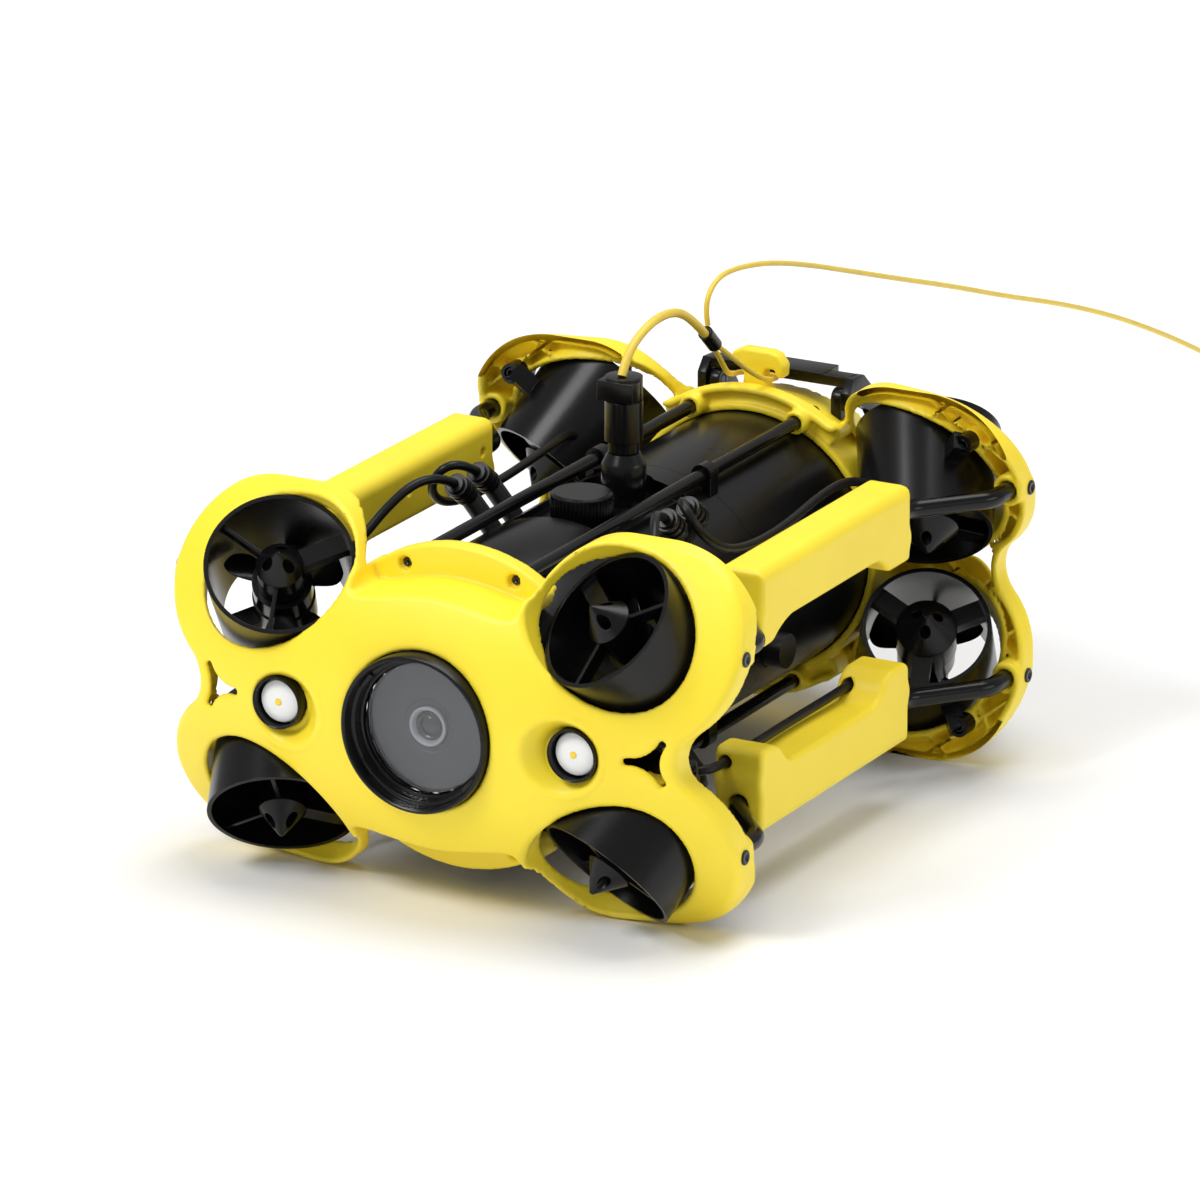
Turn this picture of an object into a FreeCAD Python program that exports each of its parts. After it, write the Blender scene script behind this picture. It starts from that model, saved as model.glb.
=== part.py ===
import FreeCAD, Part
import math
import os
import Sketcher
from FreeCAD import Placement, Rotation, Vector

# Compact eight-thruster underwater inspection vehicle.
# X is to starboard, -Y is ahead, +Z is up. The origin is under the middle of the vehicle,
# on the surface that its lower lobes rest on. All sizes are in millimetres and degrees.

SIZES = (
    # overall reference
    ("axis_height", 82.5, "hull axis above the surface that the lobes rest on"),
    ("mid_shift", 8, "origin ahead of the layout's zero station"),
    ("mirror_plane", -19, "station midway between the two panels"),
    ("panel_reach", 169, "panel apex from the midway station"),
    ("gap", 0.3, "seat clearance between separate pieces"),
    ("slip", 0.08, "radial running fit"),
    # lobed panels
    ("dome_radius", 400, "panel curve in plan"),
    ("bulge_radius", 110, "panel curve in side view"),
    ("panel_wall", 3, "panel wall"),
    ("skirt_depth", 12, "depth of the rim wall behind the skin"),
    ("rib_depth", 9.5, "depth of the stiffening ribs behind the skin"),
    ("rib_wall", 1.5, "rib thickness"),
    ("rib_pitch", 24, "distance between parallel ribs"),
    ("rib_angle", 52, "slope of the crossing ribs"),
    ("lobe_x", 92.5, "outer lobe centre"),
    ("lobe_z", 42.5, "outer lobe centre"),
    ("lobe_radius", 40, "outer lobe"),
    ("shoulder_x", 74, "inner lobe centre"),
    ("shoulder_radius", 35, "inner lobe"),
    ("waist_radius", 14.6, "concave waist between the lobes"),
    ("ledge_radius", 69.8, "outer edge of the crescent ledges"),
    ("ledge_face", 38, "ledge front face behind the apex"),
    ("ledge_wall", 4, "ledge plate thickness"),
    ("ledge_low", 48, "lower limit of the ledge"),
    ("dome_small", 52, "camera dome radius at the apex"),
    ("dome_large", 56, "camera dome radius at the ledge"),
    ("star_x", 101.6, "star slot centre"),
    ("star_radius", 9.8, "star slot corner radius"),
    ("star_hollow", 14, "radius of the star's hollow sides"),
    # pressure hull
    ("hull_radius", 58, "hull and battery tube outside"),
    ("hull_wall", 4, "battery tube wall"),
    ("hull_front", -145.7, "front flange of the hull"),
    ("seam_front", -64.2, "front seam of the middle section"),
    ("seam_rear", 18, "rear seam of the middle section"),
    ("tube_rear", 146, "rear end of the battery tube"),
    ("neck_radius", 33.5, "camera neck"),
    ("pad_floor", 49.5, "floor of the top recess"),
    ("pad_half", 24, "half width of the top recess"),
    ("pad_rear", -6, "rear end of the top recess"),
    ("arch_wall", 3.2, "yellow arch round the battery tube"),
    ("arch_front", 106, "front end of the arch"),
    ("cap_rear", 182, "rear end of the battery cap"),
    ("cap_radius", 45, "battery end cap"),
    # camera
    ("bezel_radius", 33.8, "camera bezel outside"),
    ("bezel_front", -190, "camera bezel front"),
    ("window_radius", 24.3, "camera window"),
    ("window_front", -198, "camera window front"),
    ("window_wall", 3.5, "camera window thickness"),
    ("lens_radius", 8.3, "lens ring"),
    # lamps
    ("lamp_x", 69.3, "lamp centre"),
    ("lamp_radius", 11.3, "lamp housing outside"),
    ("lamp_front", -181.5, "lamp housing front"),
    ("lamp_glass", 8.5, "lamp dome"),
    ("lamp_recess", 16.5, "flared recess round a lamp"),
    # thrusters
    ("duct_x", 84.8, "duct centre"),
    ("duct_y", 129.2, "duct centre from the midway station"),
    ("duct_z", 38.1, "duct centre"),
    ("duct_yaw", 26.6, "turn of a duct towards the centre line"),
    ("duct_tilt", 47.9, "tilt of a duct from the vertical"),
    ("duct_half", 24.5, "half the duct length"),
    ("duct_mouth", 31.5, "outer radius at the outer mouth"),
    ("duct_tail", 28, "outer radius at the inner mouth"),
    ("duct_wall", 1.9, "duct wall"),
    ("duct_hole", 32.2, "panel opening round a duct"),
    ("collar_wall", 2, "yellow collar round a duct"),
    ("collar_depth", 15, "collar depth behind the skin"),
    ("blade_radius", 26.2, "propeller"),
    ("blade_wall", 1.8, "propeller blade thickness"),
    ("blade_root", 34, "blade angle at the hub"),
    ("blade_tip", 20, "blade angle at the tip"),
    ("hub_radius", 12.6, "propeller hub"),
    ("hub_length", 13, "propeller hub"),
    ("hub_low", -6, "propeller hub's inner face along the duct"),
    ("shaft_radius", 2.5, "motor shaft"),
    ("shaft_length", 9, "motor shaft into the pod"),
    ("pod_radius", 13.2, "motor pod"),
    ("pod_length", 17, "motor pod"),
    ("nose_height", 12, "cone of the pod and of the guard"),
    ("cone_radius", 10, "guard cone"),
    ("cone_seat", 8, "guard cone's inner face along the duct"),
    ("cone_length", 15, "straight part of the guard cone"),
    ("strut_wall", 1.7, "thin guard strut"),
    ("strut_wide", 8, "wide guard strut"),
    ("strut_depth", 5.5, "guard strut along the duct"),
    ("arm_wide", 8, "stator arm"),
    ("arm_depth", 7, "stator arm along the duct"),
    ("nose_hole", 2.3, "water hole in a cone"),
    ("strut_turn", 113.3, "wide guard strut round the duct"),
    ("ear_turn", 200.2, "screw ear round the duct"),
    ("ear_x", 110, "screw ear"),
    ("ear_z", 63.5, "screw ear"),
    ("ear_reach", 118, "screw ear face from the midway station"),
    ("ear_radius", 4.6, "screw ear"),
    ("ear_length", 8, "screw ear"),
    ("screw_radius", 1.5, "M3 screw"),
    # side tubes and floats
    ("tube_radius", 4, "side tube"),
    ("tube_z", 42.4, "side tube"),
    ("tube_out", 126, "side tube in its socket"),
    ("tube_in", 100.7, "side tube in its float"),
    ("tube_bend", 108, "outer bend from the midway station"),
    ("tube_entry", 78, "inner bend from the midway station"),
    ("tube_end", 134, "end of the side tube from the midway station"),
    ("socket_radius", 7, "tube socket on the panel"),
    ("socket_mouth", 47, "socket mouth behind the apex"),
    ("float_inner", 89.5, "inner face of a float"),
    ("float_outer", 112, "outer face of a float"),
    ("float_front", -95, "front face of a float"),
    ("float_rear", 40, "rear face of a float"),
    ("float_top", 60.5, "top of an upper float"),
    ("float_waist", 34.5, "underside of an upper float"),
    ("float_foot", 27, "underside of its feet"),
    ("float_low_top", -18, "top of a lower float's horns"),
    ("float_low_waist", -29, "top of a lower float between its horns"),
    ("float_low_base", -54.5, "underside of a lower float"),
    ("float_round", 9, "rounding along a float"),
    ("horn_length", 20, "length of a float's feet and horns"),
    ("cable_room", 0.6, "clearance round a cable in a float"),
    ("cable_hole_x", 94.5, "cable hole in a lower float"),
    ("cable_hole_z", 24.6, "cable hole in a lower float"),
    ("float_screw_hole", 2, "screw hole in an upper float's inner face"),
    ("float_screw_front", -34, "front screw hole of an upper float"),
    ("float_screw_rear", 30, "rear screw hole of an upper float"),
    ("float_screw_z", 47.5, "screw hole in an upper float's inner face"),
    # frame
    ("rod_x", 25.5, "tie rod"),
    ("rod_z", 58.7, "tie rod"),
    ("rod_radius", 3, "tie rod"),
    ("rod_front", -145.6, "front end of a tie rod"),
    ("rod_rear", 118, "rear end of a tie rod"),
    ("rod_collar", 5.2, "yellow collar round a tie rod"),
    ("clip_y", 17, "rod clip"),
    ("clip_width", 7, "rod clip"),
    # top fittings
    ("knob_y", -45, "port cap"),
    ("knob_radius", 12.8, "port cap"),
    ("knob_top", 64.4, "port cap's top"),
    ("plug_y", -8, "tether connector"),
    ("plug_top", 105, "top of the tether connector"),
    ("sink_radius", 3.1, "counterbore of a ledge screw"),
    ("sink_depth", 2.6, "counterbore of a ledge screw"),
    # tether cleat and battery latch
    ("cleat_y", 118, "tether cleat"),
    ("cleat_top", 83.5, "top of the tether cleat"),
    ("cleat_seat", 62.5, "top of the cleat's foot on the arch"),
    ("latch_y", 134, "latch pivot"),
    ("latch_z", 61.6, "latch pivot"),
    ("latch_x", 34, "latch arm"),
    ("latch_arm", 4, "latch arm thickness"),
    ("latch_bar", 8, "width of the bar between the latch arms"),
    ("latch_lift", 5, "underside of the bar above the pivot"),
    ("latch_bar_wall", 4.6, "height of the bar"),
    ("latch_plate_left", -4, "port edge of the thumb plate"),
    ("latch_plate", 26, "width of the thumb plate"),
    ("latch_plate_long", 15, "length of the thumb plate"),
    ("latch_plate_wall", 4, "thickness of the thumb plate"),
    ("latch_pin", 2, "latch pin"),
    ("latch_pin_length", 11, "latch pin"),
    ("lug_radius", 4.6, "rounded end of a latch lug"),
    ("lug_wall", 5, "latch lug thickness"),
    ("lug_inner", 27.4, "inner face of a latch lug"),
    ("lug_foot", 11, "foot of a latch lug below the pivot"),
    # motor cables
    ("elbow_x", 50, "cable elbow"),
    ("elbow_z", 57, "cable elbow"),
    ("elbow_front", -53, "front cable elbow"),
    ("elbow_rear", -34, "rear cable elbow"),
    ("elbow_reach", 77, "top of an elbow's leg from the hull axis"),
    ("elbow_length", 15, "ribbed barrel of a cable elbow"),
    ("cable_radius", 2, "motor cable"),
    # tether
    ("ferrule_radius", 3.3, "ferrule that holds the tether's strands"),
    ("ferrule_length", 11.5, "ferrule"),
    ("coil_mean", 14, "mean radius of the coil of spare tether"),
    ("coil_half", 3.7, "half the height of the coil"),
    ("coil_x", 22.2, "coil centre"),
    ("coil_y", 717, "coil centre"),
    ("whip_radius", 1.95, "thick lead"),
    ("line_radius", 1.2, "working tether"),
)

doc = FreeCAD.newDocument("inspection_rov")
dims = doc.addObject("Spreadsheet::Sheet", "dims")
for row, (alias, number, note) in enumerate(SIZES, start=1):
    dims.set("A%d" % row, alias)
    dims.set("B%d" % row, str(number))
    dims.set("C%d" % row, note)
    dims.setAlias("B%d" % row, alias)
doc.recompute()

# Directions in which a primitive's own Z axis is laid.
ALONG_Y = Rotation(Vector(1, 0, 0), -90)
AGAINST_Y = Rotation(Vector(1, 0, 0), 90)
ALONG_X = Rotation(Vector(0, 1, 0), 90)
AGAINST_X = Rotation(Vector(0, 1, 0), -90)
UPRIGHT = Rotation()

NODES = []
LEFT_RIGHT = (("right", 1), ("left", -1))
UP_DOWN = (("upper", 1), ("lower", -1))
FRONT_REAR = (("front", -1), ("rear", 1))


def size(expression):
    """Value of an expression over the sheet's aliases."""
    return float(dims.evalExpression(expression))


def bind(item, name, expression):
    item.setExpression(name, expression)
    return item


def place(item, at, turn=UPRIGHT):
    """Lay an object at a point given by three expressions."""
    item.Placement = Placement(Vector(size(at[0]), size(at[1]), size(at[2])), turn)
    for axis, expression in zip("xyz", at):
        item.setExpression("Placement.Base." + axis, expression)
    return item


def cylinder(name, radius, height, at=("0", "0", "0"), turn=UPRIGHT):
    item = doc.addObject("Part::Cylinder", name)
    bind(item, "Radius", radius)
    bind(item, "Height", height)
    return place(item, at, turn)


def cone(name, radius_low, radius_high, height, at=("0", "0", "0"), turn=UPRIGHT):
    item = doc.addObject("Part::Cone", name)
    bind(item, "Radius1", radius_low)
    bind(item, "Radius2", radius_high)
    bind(item, "Height", height)
    return place(item, at, turn)


def box(name, length, width, height, at, turn=UPRIGHT):
    item = doc.addObject("Part::Box", name)
    bind(item, "Length", length)
    bind(item, "Width", width)
    bind(item, "Height", height)
    return place(item, at, turn)


def fused(name, items):
    item = doc.addObject("Part::MultiFuse", name)
    item.Shapes = items
    item.Refine = True
    return item


def common(name, items):
    item = doc.addObject("Part::MultiCommon", name)
    item.Shapes = items
    return item


def cut(name, base, tool):
    item = doc.addObject("Part::Cut", name)
    item.Base = base
    item.Tool = tool
    return item


def feature(name, shape):
    item = doc.addObject("Part::Feature", name)
    item.Shape = shape
    return item


def node(item, label, shifted=True):
    """Name a finished sub-part and lift it from the hull axis to the row's own frame."""
    item.Label = label
    if shifted:
        place(item, ("0", "dims.mid_shift", "dims.axis_height"), item.Placement.Rotation)
    NODES.append(item)
    return item


def outline(body, name, plane, corners):
    """Closed outline in a body, each corner tied to two expressions."""
    sketch = body.newObject("Sketcher::SketchObject", name)
    origin_plane = [item for item in body.Origin.OriginFeatures if item.Role == plane][0]
    sketch.AttachmentSupport = [(origin_plane, "")]
    sketch.MapMode = "FlatFace"
    points = [Vector(size(x), size(y), 0) for x, y in corners]
    count = len(points)
    for index in range(count):
        sketch.addGeometry(Part.LineSegment(points[index], points[(index + 1) % count]))
    for index in range(count):
        sketch.addConstraint(Sketcher.Constraint("Coincident", index, 2, (index + 1) % count, 1))
    for index, (x, y) in enumerate(corners):
        for kind, expression in (("DistanceX", x), ("DistanceY", y)):
            link = Sketcher.Constraint(kind, -1, 1, index, 1, size(expression))
            number = sketch.addConstraint(link)
            sketch.setExpression("Constraints[%d]" % number, expression)
    return sketch


def turned(name, corners, plane="XZ_Plane"):
    """Body turned round its own vertical axis from a half profile of radius and height."""
    body = doc.addObject("PartDesign::Body", name)
    sketch = outline(body, name + "_profile", plane, corners)
    turn = body.newObject("PartDesign::Revolution", name + "_turn")
    turn.Profile = sketch
    turn.ReferenceAxis = (sketch, ["V_Axis"])
    turn.Angle = 360
    body.Tip = turn
    return body


def pad(name, corners, length, plane="XY_Plane"):
    """Body padded from an outline, half its length to each side of the plane."""
    body = doc.addObject("PartDesign::Body", name)
    sketch = outline(body, name + "_outline", plane, corners)
    extrude = body.newObject("PartDesign::Pad", name + "_pad")
    extrude.Profile = sketch
    extrude.SideType = "Symmetric"
    bind(extrude, "Length", length)
    body.Tip = extrude
    return body


def mirrored_y(station, side):
    """Expression of a distance ahead of (-1) or behind (1) the midway station."""
    return "dims.mirror_plane + (%d) * (%s)" % (side, station)


# ---------------------------------------------------------------- lobed panels

def lobed_face(inset):
    """Panel outline in the XZ plane: four lobes, two waists and two crescent ledges."""
    lobe_x = size("lobe_x")
    lobe_z = size("lobe_z")
    lobe = size("lobe_radius") - inset
    waist = size("waist_radius") + inset
    ledge = size("ledge_radius") - inset
    shoulder = size("shoulder_radius") - inset
    shoulder_x = size("shoulder_x")
    shoulder_z = lobe_z + size("lobe_radius") - size("shoulder_radius")
    reach = lobe + waist
    waist_x = lobe_x + math.sqrt(reach ** 2 - lobe_z ** 2)
    waist_start = math.atan2(-lobe_z, waist_x - lobe_x)
    # The shoulder and the ledge cross at the notch.
    span = math.hypot(shoulder_x, shoulder_z)
    along = (span ** 2 + ledge ** 2 - shoulder ** 2) / (2 * span)
    swing = math.acos(along / ledge)
    notch_angle = math.atan2(shoulder_z, shoulder_x) + swing
    notch = Vector(ledge * math.cos(notch_angle), 0, ledge * math.sin(notch_angle))
    notch_turn = math.atan2(notch.z - shoulder_z, notch.x - shoulder_x)

    def on(centre_x, centre_z, radius, angle):
        return Vector(centre_x + radius * math.cos(angle), 0, centre_z + radius * math.sin(angle))

    touch = on(lobe_x, lobe_z, lobe, waist_start)
    lobe_middle = on(lobe_x, lobe_z, lobe, (waist_start + math.pi / 2) / 2)
    lobe_top = on(lobe_x, lobe_z, lobe, math.pi / 2)
    shoulder_top = on(shoulder_x, shoulder_z, shoulder, math.pi / 2)
    shoulder_middle = on(shoulder_x, shoulder_z, shoulder, (math.pi / 2 + notch_turn) / 2)
    waist_middle = Vector(waist_x - waist, 0, 0)
    ledge_middle = Vector(0, 0, ledge)

    def flip(point, side_x, side_z):
        return Vector(point.x * side_x, 0, point.z * side_z)

    edges = []
    for side_x in (1, -1):
        for side_z in (1, -1):
            edges.append(Part.Arc(flip(touch, side_x, side_z), flip(lobe_middle, side_x, side_z),
                                  flip(lobe_top, side_x, side_z)).toShape())
            edges.append(Part.LineSegment(flip(lobe_top, side_x, side_z),
                                          flip(shoulder_top, side_x, side_z)).toShape())
            edges.append(Part.Arc(flip(shoulder_top, side_x, side_z),
                                  flip(shoulder_middle, side_x, side_z),
                                  flip(notch, side_x, side_z)).toShape())
        edges.append(Part.Arc(flip(touch, side_x, 1), flip(waist_middle, side_x, 1),
                              flip(touch, side_x, -1)).toShape())
    for side_z in (1, -1):
        edges.append(Part.Arc(flip(notch, 1, side_z), flip(ledge_middle, 1, side_z),
                              flip(notch, -1, side_z)).toShape())
    return Part.Face(Part.Wire(Part.__sortEdges__(edges)))


PRISM_START = -5
PRISM_DEPTH = 85
WIDE = 300


def lobed_prism(name, inset):
    face = feature(name + "_face", lobed_face(inset))
    face.Placement = Placement(Vector(0, PRISM_START, 0), Rotation())
    prism = doc.addObject("Part::Extrusion", name)
    prism.Base = face
    prism.Dir = Vector(0, 1, 0)
    prism.LengthFwd = PRISM_DEPTH
    prism.Solid = True
    return prism


def skin(name, depth):
    """Doubly curved solid whose front is the panel's skin, moved back by a depth."""
    item = doc.addObject("Part::Torus", name)
    bind(item, "Radius1", "dims.dome_radius - dims.bulge_radius")
    bind(item, "Radius2", "dims.bulge_radius")
    return place(item, ("0", "dims.dome_radius + " + depth, "0"))


def ledge_tool(name, inset, depth):
    """Space ahead of the crescent ledges and outside the camera dome."""
    zone = cylinder(name + "_zone", "dims.ledge_radius + 6", "%s + 5" % depth, ("0", "-5", "0"), ALONG_Y)
    slab = box(name + "_slab", "4 * dims.ledge_radius", "%s + 20" % depth,
               "2 * (dims.ledge_low - %s)" % inset,
               ("-2 * dims.ledge_radius", "-10", "-(dims.ledge_low - %s)" % inset))
    slope = "(dims.dome_large - dims.dome_small) / dims.ledge_face"
    dome = cone(name + "_dome", "dims.dome_small - %s - 10 * %s" % (inset, slope),
                "dims.dome_large - %s + 20 * %s" % (inset, slope), "dims.ledge_face + 30",
                ("0", "-10", "0"), ALONG_Y)
    keep = [slab, dome]
    for label_x, side_x in LEFT_RIGHT:
        for label_z, side_z in UP_DOWN:
            keep.append(cylinder("%s_%s_%s" % (name, label_z, label_x),
                                 "dims.shoulder_radius - %s" % inset, "%s + 20" % depth,
                                 ("%d * dims.shoulder_x" % side_x, "-10",
                                  "%d * (dims.lobe_z + dims.lobe_radius - dims.shoulder_radius)" % side_z),
                                 ALONG_Y))
    return cut(name, zone, fused(name + "_keep", keep))


def duct_axis_tool(name, radius, low, high, side_x, side_z):
    """Cylinder on a duct's axis, in the panel's own frame."""
    item = doc.addObject("Part::Cylinder", name)
    bind(item, "Radius", radius)
    bind(item, "Height", "%s - (%s)" % (high, low))
    angles = duct_angles(side_x, -1, side_z)
    turn = "create(<<rotation>>; %s; %s; 0)" % angles
    seat = "create(<<vector>>; %d * dims.duct_x; dims.panel_reach - dims.duct_y; %d * dims.duct_z)" \
        % (side_x, side_z)
    bind(item, "Placement", "create(<<placement>>; %s + %s * create(<<vector>>; 0; 0; %s); %s)"
         % (seat, turn, low, turn))
    return item


def duct_angles(side_x, side_y, side_z):
    """Yaw and pitch expressions that turn the Z axis into a duct's outward direction."""
    yaw = "(%d) * (90 + %d * dims.duct_yaw)" % (side_y, side_x * side_y * side_y)
    pitch = "dims.duct_tilt" if side_z > 0 else "180 - dims.duct_tilt"
    return yaw, pitch


def panel_shell(name):
    """Moulded skin with its rim wall, camera dome and crescent ledges, in its own frame."""
    outer = common(name + "_outer", [lobed_prism(name + "_prism", 0), skin(name + "_skin", "0")])
    outer = cut(name + "_stepped", outer, ledge_tool(name + "_ledge", "0", "dims.ledge_face"))
    inner = common(name + "_inner", [lobed_prism(name + "_core", size("panel_wall")),
                                     skin(name + "_lining", "dims.panel_wall")])
    inner = cut(name + "_hollow", inner,
                ledge_tool(name + "_step", "dims.panel_wall", "(dims.ledge_face + dims.ledge_wall)"))
    shell = cut(name + "_wall", outer, inner)
    centre = cylinder(name + "_centre", "dims.ledge_radius + 0.7", "2 * dims.dome_radius",
                      ("0", "-10", "0"), ALONG_Y)
    trim = cut(name + "_trim", skin(name + "_back", "dims.skirt_depth"), centre)
    flat = cylinder(name + "_flat", "dims.ledge_radius + 0.7", "100",
                    ("0", "dims.ledge_face + 2 * dims.ledge_wall", "0"), ALONG_Y)
    return cut(name + "_shell", shell, fused(name + "_behind", [trim, flat]))


def panel_ribs(name):
    """Crossing ribs on the back of the lobes."""
    ribs = []
    for side in (1, -1):
        for number in range(-4, 5):
            turn = Rotation(Vector(0, 1, 0), side * size("rib_angle"))
            rib = doc.addObject("Part::Box", "%s_rib_%d_%d" % (name, side + 1, number + 4))
            bind(rib, "Length", "dims.rib_wall")
            rib.Width = PRISM_DEPTH - 10
            rib.Height = WIDE
            bind(rib, "Placement",
                 "create(<<placement>>; create(<<rotation>>; create(<<vector>>; 0; 1; 0); %d * dims.rib_angle)"
                 " * create(<<vector>>; %d * dims.rib_pitch - dims.rib_wall / 2; 0; %d);"
                 " create(<<rotation>>; create(<<vector>>; 0; 1; 0); %d * dims.rib_angle))"
                 % (side, number, -WIDE / 2, side))
            ribs.append(rib)
    field = common(name + "_field", [fused(name + "_ribs", ribs),
                                     lobed_prism(name + "_edge", size("panel_wall") / 2),
                                     skin(name + "_root", "dims.panel_wall / 2")])
    centre = cylinder(name + "_middle", "dims.ledge_radius + 1", "2 * dims.dome_radius",
                      ("0", "-10", "0"), ALONG_Y)
    tops = skin(name + "_tops", "dims.rib_depth")
    return cut(name + "_grid", field, fused(name + "_clear", [tops, centre]))


def panel_bosses(name):
    """Tube sockets, duct collars and ear posts on the back of a panel."""
    bosses = []
    for label_x, side_x in LEFT_RIGHT:
        for label_z, side_z in UP_DOWN:
            corner = "%s_%s_%s" % (name, label_z, label_x)
            bosses.append(cylinder(corner + "_socket", "dims.socket_radius", "dims.socket_mouth",
                                   ("%d * dims.tube_out" % side_x, "0", "%d * dims.tube_z" % side_z),
                                   ALONG_Y))
            bosses.append(cylinder(corner + "_post", "dims.ear_radius",
                                   "dims.panel_reach - dims.ear_reach - dims.gap",
                                   ("%d * dims.ear_x" % side_x, "0", "%d * dims.ear_z" % side_z), ALONG_Y))
    solid = common(name + "_posts", [fused(name + "_bosses", bosses), lobed_prism(name + "_rim", 0),
                                     skin(name + "_face", "dims.panel_wall / 2")])
    collars = []
    for label_x, side_x in LEFT_RIGHT:
        for label_z, side_z in UP_DOWN:
            corner = "%s_%s_%s" % (name, label_z, label_x)
            collars.append(duct_axis_tool(corner + "_collar", "dims.duct_hole + dims.collar_wall",
                                          "-dims.duct_half", "dims.duct_half + 30", side_x, side_z))
    rings = common(name + "_rings", [fused(name + "_collars", collars), lobed_prism(name + "_lip", 0),
                                     skin(name + "_front", "0")])
    rings = cut(name + "_low", rings, skin(name + "_end", "dims.collar_depth"))
    return [solid, rings]


def panel_holes(name):
    """Duct openings, tube bores, star slots and screw holes."""
    holes = []
    for label_x, side_x in LEFT_RIGHT:
        star = doc.addObject("Part::Prism", "%s_%s_star" % (name, label_x))
        star.Polygon = 3
        bind(star, "Circumradius", "dims.star_radius")
        star.Height = PRISM_DEPTH
        turn = Rotation(Vector(0, 1, 0), 180 if side_x > 0 else 0) * ALONG_Y
        place(star, ("%d * dims.star_x" % side_x, "-5", "0"), turn)
        sides = []
        reach = "(dims.star_hollow + dims.star_radius * 0.3)"
        for number, degrees in enumerate((60, 180, 300)):
            if degrees == 180:
                across = "%d * (dims.star_x + %s)" % (side_x, reach)
                rise = "0"
            else:
                across = "%d * (dims.star_x - cos(60 deg) * %s)" % (side_x, reach)
                rise = "%d * sin(60 deg) * %s" % (1 if degrees == 60 else -1, reach)
            sides.append(cylinder("%s_%s_side_%d" % (name, label_x, number), "dims.star_hollow",
                                  "%d" % (PRISM_DEPTH + 10), (across, "-8", rise), ALONG_Y))
        holes.append(cut("%s_%s_slot" % (name, label_x), star,
                         fused("%s_%s_sides" % (name, label_x), sides)))
        for label_z, side_z in UP_DOWN:
            corner = "%s_%s_%s" % (name, label_z, label_x)
            holes.append(duct_axis_tool(corner + "_opening", "dims.duct_hole", "-3 * dims.duct_half",
                                        "3 * dims.duct_half", side_x, side_z))
            holes.append(cylinder(corner + "_bore", "dims.tube_radius + dims.slip", "40",
                                  ("%d * dims.tube_out" % side_x,
                                   "dims.panel_reach - dims.tube_end - dims.gap",
                                   "%d * dims.tube_z" % side_z), ALONG_Y))
            holes.append(cylinder(corner + "_pin", "dims.screw_radius + dims.slip", "20",
                                  ("%d * (dims.tube_out + 1)" % side_x, "dims.socket_mouth - 9",
                                   "%d * dims.tube_z" % side_z), ALONG_X if side_x > 0 else AGAINST_X))
            holes.append(cylinder(corner + "_tap", "dims.screw_radius + dims.slip", "12",
                                  ("%d * dims.ear_x" % side_x,
                                   "dims.panel_reach - dims.ear_reach - 10",
                                   "%d * dims.ear_z" % side_z), ALONG_Y))
            rod = ("%d * dims.rod_x" % side_x, "dims.ledge_face - 1", "%d * dims.rod_z" % side_z)
            holes.append(cylinder(corner + "_sink", "dims.sink_radius", "dims.sink_depth + 1", rod, ALONG_Y))
            holes.append(cylinder(corner + "_through", "dims.screw_radius + dims.slip", "12", rod, ALONG_Y))
    return holes


def front_panel():
    """Front panel with the camera opening and two flared lamp recesses."""
    solid = [panel_shell("fp"), panel_ribs("fr")] + panel_bosses("fb")
    for label_x, side_x in LEFT_RIGHT:
        for label_z, side_z in UP_DOWN:
            solid.append(cut("fp_%s_%s_cup" % (label_z, label_x),
                             cylinder("fp_%s_%s_cupo" % (label_z, label_x), "dims.rod_collar", "7",
                                      ("%d * dims.rod_x" % side_x, "dims.ledge_face + 1",
                                       "%d * dims.rod_z" % side_z), ALONG_Y),
                             cylinder("fp_%s_%s_cupi" % (label_z, label_x), "dims.rod_radius + dims.slip", "10",
                                      ("%d * dims.rod_x" % side_x, "dims.ledge_face + dims.ledge_wall",
                                       "%d * dims.rod_z" % side_z), ALONG_Y)))
        solid.append(cylinder("fp_%s_lamp_seat" % label_x, "dims.lamp_radius + dims.gap + 2", "10",
                              ("%d * dims.lamp_x" % side_x, "8", "0"), ALONG_Y))
    holes = panel_holes("fh")
    holes.append(cylinder("fp_eye", "dims.bezel_radius + dims.gap", "60", ("0", "-10", "0"), ALONG_Y))
    for label_x, side_x in LEFT_RIGHT:
        holes.append(cylinder("fp_%s_lamp" % label_x, "dims.lamp_radius + dims.slip", "60",
                              ("%d * dims.lamp_x" % side_x, "-10", "0"), ALONG_Y))
        holes.append(cone("fp_%s_flare" % label_x, "dims.lamp_recess + 4", "dims.lamp_radius + 0.5", "9",
                          ("%d * (dims.lamp_x - 1.5)" % side_x, "0", "0"), ALONG_Y))
    whole = cut("front_panel_cut", fused("front_panel_whole", solid), fused("front_panel_holes", holes))
    whole.Label = "front_panel"
    place(whole, ("0", "dims.mirror_plane - dims.panel_reach + dims.mid_shift", "dims.axis_height"))
    NODES.append(whole)


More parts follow.
